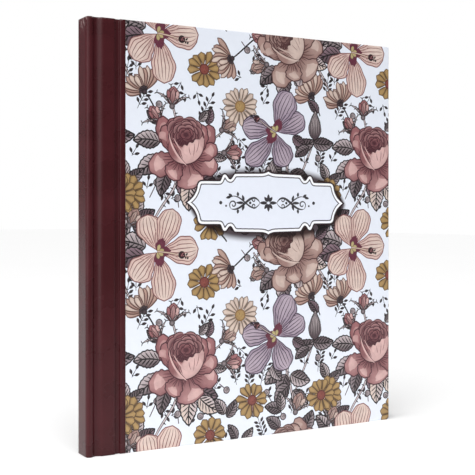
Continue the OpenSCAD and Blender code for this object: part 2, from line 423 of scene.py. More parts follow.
def rose_cup(pen, colours):
    """The one broad petal in front of a rose's heart, rolled over at its left."""
    light, face, dark, deep = colours
    lip = bezier([-11 + 4j, -6 - 4j, 1 - 1j, 7 + 2j, 14 + 7j], 25)
    t = np.linspace(0, 1, 25)
    scallop = 0.9 + 1.9 * np.abs(np.sin(t * 5.5 * np.pi)) * (0.4 + t)
    scallop *= np.sin(np.pi * np.clip(t, 0.03, 0.97)) ** 0.4
    under = 11.5 * np.sin(np.pi * np.clip(t, 0.01, 0.99)) ** 0.55

    def shade(t, w):
        lit = np.clip((t - 0.3 - 0.1 * w) / 0.12, 0, 1)
        lit = lit * (1 - 0.55 * np.clip(-w - 0.55, 0, 1) - 0.3 * (t > 0.86))
        return mix(mix(face, dark, 0.25 - 0.2 * w), light, lit)

    patch(pen, lip, scallop, under, shade, columns=7)
    side = sideways(lip)
    pen.fill((ribbon(lip + side * scallop, 0.6, 0.5), deep), (ribbon(lip - side * under, 0.85, 0.5), deep))
    for start, lean in ((3, -4), (5, -3), (7, -2)):
        way = [lip[start], lip[start] * 0.6 - 4j - 1, lean - 8j]
        stroke(pen, bezier(way, 7), 0.5, mix(dark, deep, 0.3))
    for start, drop, turn in ((14, 6, 1.5), (18, 9, -1), (21, 8, -2)):
        way = [lip[start], lip[start] - 0.5j * drop, lip[start] - 1j * drop + turn]
        stroke(pen, bezier(way, 7), 0.45, mix(face, dark, 0.5))
    stroke(pen, bezier([-12.5 + 9j, -11 - 1j, -5 - 8j, 1 - 12.5j], 9), 1.4, mix(face, light, 0.95))
    stroke(pen, bezier([-12.2 + 9j, -10 - 0j, -4.4 - 7j, 1 - 11.8j], 9), 0.55, deep)
    stroke(pen, bezier([-9 + 6j, -6 + 1j, -3 - 3j, 1 - 6j], 9), 1.0, mix(face, light, 0.8))


def rose(pen, light, face, dark, deep, seed):
    """Full rose, 48 mm across, seen from a little above: its cup opens along +Y."""
    rng = np.random.default_rng(seed)
    colours = (light, face, dark, deep)
    for at, angle, length, width, bend, lit in (
            (-6 - 3j, 140, 26, 12, -0.45, 0.0), (8 - 4j, 34, 23, 12, 0.5, 0.1),
            (2 - 8j, -84, 21, 22, 0.1, 0.9), (-3 - 7j, -150, 25, 17, -0.35, 0.8),
            (4 - 8j, -26, 22, 15, 0.3, 0.6), (5 - 6j, 4, 21, 12, 0.35, 0.4),
            (-4 - 9j, -118, 15, 14, -0.1, 0.6), (-5 - 7j, 114, 27, 12, -0.3, 0.0),
            (7 - 7j, 60, 24, 11, 0.3, 0.1), (-8 - 5j, 132, 21, 9, -0.4, 0.2)):
        rose_petal(pen, rng, colours, at, angle, length, width, bend, lit)
    rose_heart(pen.child(at=0.6 + 8.6j), rng, colours)
    rose_petal(pen, rng, colours, -9 - 1j, -44, 17, 10, 0.5, 0.1)
    rose_petal(pen, rng, colours, 13 + 1j, -142, 16, 10, -0.5, 0.5)
    rose_cup(pen, colours)


def hibiscus_bud(pen, length):
    """Tall closed bud along +X, with ribs."""
    petal(pen, length, length * 0.5, two_tone(INK["leaf_dark"], INK["leaf_light"], INK["leaf_dark"]),
          INK["line"], widest=0.36, fullness=0.95, veins=6, vein=0.62, line=0.65, rows=14)


def sprig(pen, length, pairs):
    """Thin twig along +X with dark leaflets in pairs and one at its tip."""
    stroke(pen, bezier([0, 0.5 * length + 0.06j * length, length], 9), 0.5, INK["line"], taper=0.3)
    for k in range(pairs + 1):
        at = length * (0.2 + 0.8 * k / pairs)
        for turn in (0,) if k == pairs else (50, -48):
            twig = pen.child(at=at, angle=turn)
            stroke(twig, np.array([0, 0.8, 1.6]), 0.45, INK["line"], 0.2)
            t = np.linspace(0, 1, 6)
            half = 1.05 * profile(np.clip(t, 0.01, 0.99), 0.5, 0.9)
            patch(twig.child(at=1.3), 4.2 * t + 0j, half, half,
                  two_tone(INK["line"], mix(INK["line"], INK["leaf_dark"], 0.6), INK["line"]), columns=3)


def seed_head(pen, length):
    """Round seed head at the end of a short stalk along +X."""
    stroke(pen, np.array([0, length / 2, length]), 0.75, INK["leaf_dark"], taper=0.1)
    head = pen.child(at=length + 1.6)
    dot(head, 0, 2.7, INK["line"], INK["line"])
    dot(head, 0, 2.05, INK["leaf_light"], INK["leaf"])
    for lift in (-0.8, 0.1, 0.9):
        stroke(head, bezier([-1.3 + 1j * lift, 0 + 1j * (lift + 0.9), 1.4 + 1j * lift], 5), 0.5, INK["line"])


# ---------------------------------------------------------------- the repeating pattern

TILE_W, TILE_H = 163.0, 148.7  # one repeat, in millimetres
LEAF_TONES = {
    "dark": ("leaf", "leaf_dark"),
    "mid": ("leaf_light", "leaf_dark"),
    "pale": ("cream", "leaf_light"),
    "plum": ("plum_leaf", "leaf_dark"),
}


def tile_stems(pen):
    """Stalks, each given as (points, width, thorns)."""
    for points, width, thorns in (
            ([58 - 13j, 66 - 8j, 74 + 2j, 80 + 4j], 0.5, 0),
            ([-10 - 40j, -4 - 46j, 2 - 60j], 0.5, 0),
            ([127 - 36j, 130 - 40j, 134 - 50j], 0.5, 0),
            ([36 - 22j, 44 - 18j, 54 - 12j], 0.6, 0),
            ([40 + 18j, 50 + 12j, 54 + 6j], 0.6, 0),
            ([30 - 102j, 36 - 112j, 48 - 122j], 0.8, 0),
            ([123 - 8j, 134 - 14j, 142 - 30j], 1.5, 5),
            ([14 - 96j, 16 - 106j, 6 - 112j, -2 - 126j], 1.5, 6),
            ([86 - 13j, 80 - 8j, 76 - 2j], 1.0, 2),
            ([11 - 47j, 13 - 54j, 15 - 62j], 1.2, 2),
            ([100 - 78j, 106 - 90j, 110 - 112j], 1.6, 4),
            ([108 - 78j, 104 - 92j, 98 - 116j], 1.4, 3),
            ([129 - 66j, 126 - 76j, 118 - 92j, 112 - 104j], 1.2, 2),
            ([54 - 62j, 48 - 68j, 40 - 72j], 1.0, 2),
            ([55 - 79j, 48 - 80j, 40 - 80j], 1.0, 2)):
        stem(pen, points, width, thorns)


def tile_leaves(pen):
    """Leaves, each given as (place, angle, length, width, tone)."""
    for at, angle, length, width, tone in (
            (-9 + 3j, 154, 23, 14, "mid"), (-10 - 2j, 182, 23, 13, "plum"), (-8 - 6j, 212, 18, 11, "dark"),
            (-6 + 8j, 124, 18, 10, "dark"), (-22 + 12j, 118, 16, 10, "mid"),
            (98 - 18j, 202, 20, 12, "dark"), (104 - 20j, -112, 20, 13, "mid"),
            (113 - 16j, -66, 20, 12, "mid"), (124 + 2j, -4, 18, 11, "mid"),
            (118 + 14j, 44, 17, 11, "dark"), (98 + 18j, 128, 14, 9, "dark"),
            (126 - 8j, -34, 15, 10, "pale"), (130 + 8j, 24, 13, 8, "plum"), (2 - 74j, 164, 20, 12, "mid"),
            (3 - 86j, 196, 21, 13, "mid"), (8 - 93j, 238, 19, 11, "dark"), (20 - 96j, -96, 17, 12, "plum"),
            (30 - 94j, -42, 19, 12, "plum"), (26 - 100j, -110, 21, 13, "pale"),
            (32 - 102j, -50, 19, 12, "pale"), (42 - 82j, -22, 12, 6, "mid"), (38 - 60j, 60, 12, 7, "plum"),
            (0 - 62j, 118, 12, 7, "dark"), (32 - 58j, 34, 10, 6, "mid"), (112 - 74j, 4, 18, 10, "dark"),
            (128 - 70j, -14, 18, 10, "dark"), (110 - 66j, -44, 13, 8, "plum"),
            (124 - 74j, 196, 14, 8, "dark"), (132 - 48j, 120, 13, 7, "plum"),
            (100 - 88j, -160, 17, 12, "mid"), (104 - 92j, -120, 17, 12, "dark"),
            (108 - 92j, -34, 18, 12, "mid"), (106 - 100j, 214, 17, 11, "dark"),
            (110 - 104j, -54, 17, 11, "mid"), (84 - 78j, 216, 14, 9, "dark"),
            (104 - 84j, 162, 12, 9, "plum"), (92 - 84j, -70, 14, 9, "mid"), (-17 - 124j, 64, 15, 9, "mid"),
            (-16 - 126j, 8, 15, 9, "plum"), (-15 - 128j, 130, 15, 9, "dark"),
            (62 + 14j, 108, 13, 7, "dark"), (66 + 12j, 30, 13, 7, "mid"), (100 - 118j, 150, 15, 9, "dark"),
            (99 - 118j, 80, 14, 8, "mid"), (140 - 98j, 100, 14, 8, "mid"), (141 - 100j, 20, 14, 8, "dark"),
            (140 - 102j, -70, 12, 8, "plum"), (52 - 116j, 110, 14, 8, "mid"),
            (54 - 118j, 44, 14, 8, "dark")):
        light, dark = (INK[name] for name in LEAF_TONES[tone])
        leaf(pen.child(at=at, angle=angle), length, width, light, dark, INK["line"])


def tile_small(pen):
    """Sprigs, single tips and seed heads between the flowers."""
    for at, angle, length, pairs in (
            (32 - 60j, 62, 20, 4), (140 - 34j, 84, 12, 3), (86 + 12j, 112, 15, 4), (76 - 6j, -60, 12, 3),
            (108 + 28j, 70, 10, 3), (24 + 27j, 82, 10, 3), (-16 - 26j, 86, 10, 1), (62 - 96j, 96, 20, 5),
            (72 - 100j, 84, 20, 5), (82 - 98j, 70, 18, 4), (132 - 92j, 80, 18, 5), (148 - 52j, 60, 16, 4)):
        sprig(pen.child(at=at, angle=angle), length, pairs)
    for at, angle in (
            (48 - 3j, -98), (18 - 32j, 240), (30 - 38j, -76), (22 - 40j, 214), (70 - 36j, -98),
            (-4 - 30j, 84), (-14 - 68j, -70), (64 - 70j, -40), (64 - 88j, 120), (60 - 84j, 10),
            (84 - 44j, 60), (66 - 26j, 160), (120 - 86j, 92), (126 - 30j, 200), (144 - 84j, 60),
            (4 - 108j, -60), (-8 - 106j, 80), (90 + 22j, 30), (54 + 22j, -60), (120 + 30j, 120),
            (10 + 36j, 20), (44 - 98j, 60), (86 - 108j, 60), (120 - 108j, 10), (148 - 18j, 40),
            (88 - 30j, 230), (100 - 32j, -40), (138 + 24j, 200), (-22 + 30j, 250), (78 - 84j, 240)):
        sprig(pen.child(at=at, angle=angle), 4.5, 1)
    for at, angle, length in (
            (2 - 60j, 94, 10), (66 + 0j, -50, 6), (82 - 18j, 200, 5), (146 - 44j, 84, 8),
            (-6 - 112j, 62, 10), (92 - 112j, 120, 8), (136 - 88j, 120, 6), (40 + 36j, 200, 6),
            (98 + 32j, 300, 5), (48 - 94j, 320, 6), (112 - 34j, 80, 6), (16 + 30j, 96, 5)):
        seed_head(pen.child(at=at, angle=angle), length)


def tile_buds(pen):
    """Two tall closed buds and nine half-open rosebuds."""
    hibiscus_bud(pen.child(at=-6 - 5j, angle=226), 20)
    hibiscus_bud(pen.child(at=129 - 68j, angle=88), 22)
    for at, angle, length, tone in (
            (88 + 3j, 168, 13, "rose"), (87 - 15j, 196, 13, "beige"), (11 - 49j, 84, 13, "rose"),
            (2 - 60j, 128, 12, "rose"), (50 - 64j, 30, 13, "beige"), (52 - 80j, 4, 14, "rose"),
            (112 - 120j, 70, 14, "beige"), (142 + 18j, 60, 12, "beige"), (76 - 118j, 100, 12, "rose")):
        rosebud(pen.child(at=at, angle=angle), length, INK[tone], INK[tone + "_dark"], INK[tone + "_light"],
                round(abs(at)))


def tile_flowers(pen):
    """Nine daisies, two roses, and a lilac and a pink open flower."""
    for at, seed in (
            (36 - 22j, 3), (-22 - 109j, 4), (40.6 + 19.4j, 5), (74.8 + 40.7j, 6), (134.9 + 38.9j, 8)):
        daisy(pen.child(at=at, angle=23 * seed), 12, 13.2, 5.4, INK["ochre"], INK["ochre_dark"], INK["rust"],
              INK["rust_dark"], seed)
    daisy(pen.child(at=65 - 46.5j), 17, 14.6, 4.2, INK["cream"], INK["cream_dark"], INK["ochre"],
          INK["ochre_dark"], 11)
    for at, angle, seed in ((58 - 13j, 206, 12), (-10 - 40j, 124, 13), (127 - 36j, 128, 14)):
        side_daisy(pen.child(at=at, angle=angle), seed)
    rose(pen.child(at=107 - 1j, angle=38), INK["beige_light"], INK["beige"], INK["beige_dark"],
         INK["beige_deep"], 21)
    rose(pen.child(at=21 - 77j), INK["rose_light"], INK["rose"], INK["rose_dark"], INK["rose_deep"], 22)
    hibiscus(pen.child(at=95 - 63.5j),
             [(168, 27, 17, 0.15), (-130, 33, 17, -0.15), (-75, 25, 18, 0.15), (20, 26, 17, 0.15),
              (72, 31, 20, -0.12)],
             151, INK["lilac"], INK["lilac_edge"], INK["lilac_line"], 31)
    hibiscus(pen,
             [(-140, 25, 19, 0.15), (115, 25, 19, -0.15), (62, 30, 18, 0.12), (-75, 33, 18, -0.12),
              (0, 30, 20, 0.05)],
             -8, INK["pink"], INK["pink_edge"], INK["pink_line"], 32)


# ---------------------------------------------------------------- the name plate

PLATE_AT = (139.5, 168.0)  # its middle, counted from the spine's outer edge and from the tail
# One quarter of the plate's edge, from the middle of its top to its right-hand tip, in millimetres.
PLATE_EDGE = [
    0 + 22.7j, 1.5 + 21.9j, 4 + 21.2j, 8 + 20.9j, 26 + 20.5j, 28.2 + 20j, 29.8 + 17.9j, 31.2 + 16.5j,
    33 + 16.9j, 34.4 + 18.8j, 35.8 + 19.9j, 37.4 + 19.4j, 38.4 + 17.4j, 39.4 + 15.5j, 41.4 + 15j,
    53 + 14.9j, 56 + 14.4j, 57.4 + 12.6j, 58.2 + 9j, 60.6 + 4.6j, 63.5 + 1.8j, 66 + 0j]


def smooth(points):
    """Catmull-Rom curve through the points, three steps from each to the next."""
    given = [2 * points[0] - points[1]] + list(points) + [2 * points[-1] - points[-2]]
    out = []
    for a, b, c, d in zip(given, given[1:], given[2:], given[3:]):
        for t in np.arange(3) / 3:
            out.append(b + 0.5 * t * (c - a + t * (2 * a - 5 * b + 4 * c - d + t * (3 * (b - c) + d - a))))
    return np.array(out + [points[-1]])


def band(pen, edge, colour):
    """Fills the shape that is edge mirrored to all four quarters."""
    half = np.concatenate([-np.conj(edge[::-1]), edge[1:]])
    pen.fill((np.stack([np.conj(half), half.real + 0j, half], 1), colour))


def inset(edge, depth):
    """The plate's edge moved inwards, as heights over a fine row of places."""
    full = np.concatenate([-np.conj(edge[::-1]), edge[1:]])
    start, step = full[:-1], np.diff(full)
    x = np.arange(0, edge[-1].real - depth, 0.3)
    y = np.arange(0, 23, 0.1)
    spot = (x[:, None] + 1j * y[None, :])[..., None]
    share = np.clip(((spot - start) * np.conj(step)).real / np.abs(step) ** 2, 0, 1)
    near = np.abs(spot - start - share * step).min(2)
    inside = (near >= depth) & (y[None, :] < np.interp(x, edge.real, edge.imag)[:, None])
    height = np.array([y[row].max() if row.any() else 0.0 for row in inside])
    tip = x[height > 0][-1] + 0.5
    padded = np.concatenate([height[2:0:-1], height, [0, 0]])
    height = np.convolve(padded, [0.1, 0.25, 0.3, 0.25, 0.1], "valid")
    keep = x < tip
    return np.concatenate([x[keep] + 1j * height[keep], [tip]])


def plate(pen):
    """Cut-out name plate: white rim, thin dark line, pale middle with a plain scroll ornament."""
    edge = smooth(PLATE_EDGE)
    rim = edge + 1.1 * sideways(edge)
    rim[0], rim[-1] = 24.2j, 67.8
    band(pen, rim, rgb("2c1a1e"))
    band(pen, edge, rgb("f6f8fc"))
    band(pen, inset(edge, 1.6), INK["plaque_line"])
    band(pen, inset(edge, 2.4), rgb("e4e9f4"))
    ornament(pen)
    ornament(mirrored(pen))


def mirrored(pen):
    """Pen that draws the mirror image, left to right."""
    return Pen(pen.shapes, lambda p: pen.place(-np.conj(p)))


def curl(start, facing, radius, turns, hand=1):
    """Line that starts at a point, heads along the angle facing and winds in on itself."""
    t = np.linspace(0, 1, 19)
    reach = radius * (1 - 0.8 * t ** 0.8)
    line = reach * np.exp(1j * (2 * np.pi * turns * t - np.pi / 2))
    line = line - line[0]
    line = line if hand > 0 else np.conj(line)
    return start + line * cmath.exp(1j * math.radians(facing))


def blade(pen, at, angle, length, width):
    """Solid leaf of the ornament."""
    ink = INK["ornament"]
    petal(pen.child(at=at, angle=angle), length, width, lambda t, w: ink, ink, rows=8, columns=3, line=0.1,
          widest=0.45, fullness=0.8, ruffle=0)


def ornament(pen):
    """Right half of a plain scroll ornament."""
    ink = INK["ornament"]
    dot(pen, 39.5, 1.25, ink)
    for angle, length in ((0, 6.4), (52, 4.6), (90, 5.4), (-52, 4.6), (-90, 5.4)):
        blade(pen, 0.9 * cmath.exp(1j * math.radians(angle)), angle, length, 2.3)
    stroke(pen, bezier([7.2, 10.5 + 5.8j, 16 + 5.6j, 19 - 1.2j, 25 - 6.2j, 31 - 4.4j], 20), 1.7, ink, 0.85)
    stroke(pen, curl(31 - 4.4j, 28, 3.6, 1.2), 1.0, ink, 0.7)
    stroke(pen, bezier([7.2, 10.5 - 5.8j, 16 - 5.6j, 19 + 1.2j, 25 + 6.2j, 31 + 4.4j], 20), 1.1, ink, 0.85)
    stroke(pen, curl(10.2 + 3.2j, 62, 2.3, 1.1, -1), 0.8, ink, 0.7)
    stroke(pen, curl(10.2 - 3.2j, -62, 2.3, 1.1), 0.8, ink, 0.7)
    for at, angle, length in ((20.5 + 1.4j, 72, 4.4), (20.5 - 1.4j, -72, 4.4), (25.4 + 4.6j, 84, 3.2),
                              (25.4 - 4.6j, -84, 3.2), (31 + 4.4j, -14, 4.4), (30 + 4.2j, 34, 3.8),
                              (20.6, 0, 6.4)):
        blade(pen, at, angle, length, 1.9)
    dot(pen, 15.4, 1.0, ink)
    dot(pen, 35.2 - 2.2j, 0.75, ink)


# ---------------------------------------------------------------- from shapes to a folded sheet

LAYER = 0.0016  # how far each layer of ink lies above the one under it
CELL = 0.5  # size of the squares that tell which shapes overlap
BEND_R = 0.5  # radius of the paper's bends at a board's edges
BEND_STEPS = 2  # faces round one bend


def layers(shapes):
    """Layer of each shape: one above everything under it, on a pattern that repeats."""
    wide, high = round(TILE_W / CELL), round(TILE_H / CELL)
    top = np.zeros((wide, high), int)
    out = []
    for shape in shapes:
        cells = []
        for points, _ in shape:
            corners = np.stack([points[:-1, :-1], points[1:, :-1], points[1:, 1:], points[:-1, 1:]])
            x, y = corners.real / TILE_W * wide, corners.imag / TILE_H * high
            ends = np.floor([x.min(0), x.max(0), y.min(0), y.max(0)]).astype(int)
            for a, b, c, d in ends.reshape(4, -1).T.tolist():
                cells.append(np.ix_(np.arange(a, b + 1) % wide, np.arange(c, d + 1) % high))
        level = 1 + max(top[cell].max() for cell in cells)
        for cell in cells:
            top[cell] = level
        out.append(level)
    return out


def as_mesh(shapes, levels):
    """All the shapes as rows (u, v, layer, r, g, b) and quads of row numbers."""
    rows, quads, base = [], [], 0
    for shape, level in zip(shapes, levels):
        for points, colours in shape:
            n, m = points.shape
            layer = np.full(n * m, float(level))
            rows.append(np.column_stack([points.real.ravel(), points.imag.ravel(), layer,
                                         colours.reshape(-1, 3)]))
            corner = base + (np.arange(n - 1)[:, None] * m + np.arange(m - 1)[None, :]).ravel()
            quads.append(np.stack([corner, corner + 1, corner + m + 1, corner + m], 1))
            base += n * m
    return np.concatenate(rows), np.concatenate(quads)


def facing_up(rows, quads):
    """The quads, each wound anticlockwise, without those that have no area."""
    p = rows[quads][:, :, :2]
    a, b = p[:, 2] - p[:, 0], p[:, 3] - p[:, 1]
    area = a[:, 0] * b[:, 1] - a[:, 1] * b[:, 0]
    quads = np.where((area < 0)[:, None], quads[:, ::-1], quads)
    return quads[np.abs(area) > 2e-3]


class Fold:
    """Path of the paper round an edge: flat, over the edge, and back along the inside."""

    def __init__(self, edge, sign):
        self.edge, self.sign = edge, sign
        self.flat = COVER_T - 2 * BEND_R
        self.bend = BEND_R * math.pi / 2
        self.inside = self.flat + 2 * self.bend

    def lines(self):
        """Where the sheet is creased, as sheet coordinates."""
        first = [self.bend * k / BEND_STEPS for k in range(BEND_STEPS + 1)]
        second = [self.bend + self.flat + w for w in first]
        return [self.edge - self.sign * BEND_R + self.sign * w for w in first + second]

    def place(self, u):
        """(coordinate along the cover, depth, tilt of the outward side) for sheet coordinates u."""
        w = self.sign * (u - self.edge) + BEND_R
        one = np.clip(w, 0, self.bend) / BEND_R
        two = np.clip(w - self.bend - self.flat, 0, self.bend) / BEND_R
        straight = np.clip(w - self.bend, 0, self.flat)
        back = np.maximum(w - self.inside, 0)
        out = np.sin(one) * BEND_R - (1 - np.cos(two)) * BEND_R - back
        depth = (1 - np.cos(one)) * BEND_R + straight + np.sin(two) * BEND_R
        return np.where(w < 0, u, self.edge + self.sign * (out - BEND_R)), depth, one + two


class Cutter:
    """Rows and polygons that can be parted along straight lines."""

    def __init__(self, rows):
        self.rows = rows.tolist()

    def split(self, faces, u, v, at):
        """The faces where u*x + v*y is under at, and those where it is over. Faces across it are parted."""
        under, over, made = [], [], {}
        for face in faces:
            side = [u * self.rows[i][0] + v * self.rows[i][1] - at for i in face]
            if max(side) <= 1e-6:
                under.append(face)
            elif min(side) >= -1e-6:
                over.append(face)
            else:
                low, high = self.part(face, side, made)
                under.extend([low] if len(low) > 2 else [])
                over.extend([high] if len(high) > 2 else [])
        return under, over

    def part(self, face, side, made):
        """The two parts of a face that a line crosses. side tells how far each corner is past the line."""
        low, high = [], []
        for k, i in enumerate(face):
            j, here, there = face[(k + 1) % len(face)], side[k], side[(k + 1) % len(face)]
            if here <= 0:
                low.append(i)
            if here >= 0:
                high.append(i)
            if here * there < 0:
                key = (min(i, j), max(i, j))
                if key not in made:
                    share = here / (here - there)
                    made[key] = len(self.rows)
                    self.rows.append([p + (q - p) * share for p, q in zip(self.rows[i], self.rows[j])])
                low.append(made[key])
                high.append(made[key])
        return low, high


def tile_mesh(mirror):
    """One repeat of the pattern, as rows and quads."""
    shapes = []
    pen = Pen(shapes)
    for draw in (tile_stems, tile_small, tile_leaves, tile_buds, tile_flowers):
        draw(pen)
    rows, quads = as_mesh(shapes, layers(shapes))
    quads = facing_up(rows, quads)
    if mirror:
        rows[:, 0] *= -1
        quads = quads[:, ::-1]
    return rows, quads


def repeated(rows, quads, shift, wide, low, high):
    """Every copy of the pattern that shows on the sheet, with the paper itself under them."""
    ground = [[x, y, 0.0, *INK["ground"]] for x, y in ((0, low), (wide, low), (wide, high), (0, high))]
    copies, faces, base = [np.array(ground)], [np.array([[0, 1, 2, 3]])], 4
    for i in range(-2, 4):
        for j in range(-2, 4):
            copy = rows.copy()
            copy[:, 0] += shift.real + i * TILE_W
            copy[:, 1] += shift.imag + j * TILE_H
            p = copy[quads]
            seen = (p[:, :, 0].max(1) > 0) & (p[:, :, 0].min(1) < wide)
            seen &= (p[:, :, 1].max(1) > low) & (p[:, :, 1].min(1) < high)
            if not seen.any():
                continue
            used, renumbered = np.unique(quads[seen], return_inverse=True)
            copies.append(copy[used])
            faces.append(renumbered.reshape(-1, 4) + base)
            base += len(used)
    return np.concatenate(copies), np.concatenate(faces)


def with_name_plate(rows, faces):
    """Adds the name plate over everything else."""
    marks = []
    plate(Pen(marks).child(at=complex(PLATE_AT[0] - (PAPER_START - LEFT), PLATE_AT[1])))
    top = rows[:, 2].max()
    plate_rows, plate_quads = as_mesh(marks, [top + 1 + k for k in range(len(marks))])
    faces = np.concatenate([faces, facing_up(plate_rows, plate_quads) + len(rows)])
    return np.concatenate([rows, plate_rows]), faces


def trimmed(rows, faces, folds, wide, low, high):
    """The faces parted along every crease and cut to the sheet, which is mitred at its two corners."""
    fore, head, tail = folds
    p = rows[faces]
    margin = BEND_R + 0.01
    flat = (p[:, :, 0].min(1) > 0) & (p[:, :, 0].max(1) < PAPER_W - margin)
    flat &= (p[:, :, 1].min(1) > margin) & (p[:, :, 1].max(1) < HEIGHT - margin)
    cutter = Cutter(rows)
    rest = faces[~flat].tolist()
    for u, v, at in ((-1, 0, 0), (1, 0, wide), (0, -1, -low), (0, 1, high)):
        rest = cutter.split(rest, u, v, at)[0]
    for fold, u, v in ((fore, 1, 0), (head, 0, 1), (tail, 0, 1)):
        for line in fold.lines():
            under, over = cutter.split(rest, u, v, line)
            rest = under + over
    corner = PAPER_W - BEND_R + fore.bend
    for sign, edge in ((1, HEIGHT), (-1, 0.0)):
        rim = edge + sign * (head.bend - BEND_R)
        kept, beyond = cutter.split(rest, 0, sign, sign * rim)
        beyond = cutter.split(beyond, 1, 0, corner)[0]
        mitre = PAPER_W + sign * edge - 2 * BEND_R + fore.inside
        rest = cutter.split(kept + beyond, 1, sign, mitre)[0]
    rows = np.array(cutter.rows)
    polygons = faces[flat].tolist() + rest
    polygons.sort(key=lambda face: rows[face[0], 2])
    return rows, polygons


def print_sheet(name, body, mirror, shift, with_plate):
    """One cover's printed paper: the pattern over the unfolded sheet, folded round the board."""
    folds = Fold(PAPER_W, 1), Fold(HEIGHT, 1), Fold(0.0, -1)
    wide = PAPER_W - 2 * BEND_R + folds[0].inside + TURN_IN
    low = -(folds[1].inside + TURN_IN - 2 * BEND_R)
    high = HEIGHT - low
    rows, faces = repeated(*tile_mesh(mirror), shift, wide, low, high)
    shaded = len(rows)
    if with_plate:
        rows, faces = with_name_plate(rows, faces)
    rows = np.column_stack([rows, np.arange(len(rows)) < shaded])
    rows, polygons = trimmed(rows, faces, folds, wide, low, high)
    return adopt(name, sheet_mesh(name, rows, polygons, folds, (wide, low, high), mirror), body)


def folded(rows, folds):
    """Where the flat sheet's rows come to lie on the cover. Each layer lies just above the one under it."""
    fore, head, tail = folds
    upper = rows[:, 1] > HEIGHT / 2
    x, depth_x, tilt_x = fore.place(rows[:, 0])
    z_high, depth_high, tilt_high = head.place(rows[:, 1])
    z_low, depth_low, tilt_low = tail.place(rows[:, 1])
    z = np.where(upper, z_high, z_low)
    tilt_z = np.where(upper, tilt_high, -tilt_low)
    depth = np.minimum(depth_x + np.where(upper, depth_high, depth_low), COVER_T)
    tilt = np.maximum(tilt_x, np.abs(tilt_z))
    out = np.column_stack([np.sin(tilt_x), -np.cos(tilt), np.sin(tilt_z)])
    out /= np.maximum(np.linalg.norm(out, axis=1), 1e-6)[:, None]
    lift = LAYER * rows[:, 2] * (1 - 0.8 * tilt / math.pi)
    return np.column_stack([PAPER_START + x, -HALF_T + depth, z]) + out * lift[:, None]


def sheet_mesh(name, rows, polygons, folds, sheet, mirror):
    """Mesh of the folded sheet, with its colours and its unfolded place as the baking coordinates."""
    used = np.unique(np.concatenate([np.array(face) for face in polygons]))
    number = np.full(len(rows), -1)
    number[used] = np.arange(len(used))
    rows = rows[used]
    points = folded(rows, folds)
    if mirror:
        points[:, 1] *= -1
        polygons = [face[::-1] for face in polygons]
    mesh = bpy.data.meshes.new(name)
    mesh.from_pydata((points * MM).tolist(), [], [number[face].tolist() for face in polygons])
    ink = mesh.attributes.new("ink", "FLOAT_COLOR", "POINT")
    ink.data.foreach_set("color", np.column_stack([rows[:, 3:6], rows[:, 6]]).ravel())
    wide, low, high = sheet
    flat = np.column_stack([rows[:, 0] / wide, (rows[:, 1] - low) / (high - low)]) * 0.998 + 0.001
    corners = np.empty(len(mesh.loops), np.int32)
    mesh.loops.foreach_get("vertex_index", corners)
    mesh.uv_layers.new(name="OFBake").data.foreach_set("uv", flat[corners].ravel())
    return mesh


# ---------------------------------------------------------------- building pieces


def adopt(name, mesh, body=None, material=None, stands_for=()):
    """Object for a mesh, riding on its body. stands_for names the CAD nodes that it replaces."""
    piece = bpy.data.objects.new(name, mesh)
    bpy.context.scene.collection.objects.link(piece)
    if material:
        mesh.materials.append(material)
    if body:
        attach(piece, body)
    if stands_for:
        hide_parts(*stands_for)
    return piece


# ---------------------------------------------------------------- materials


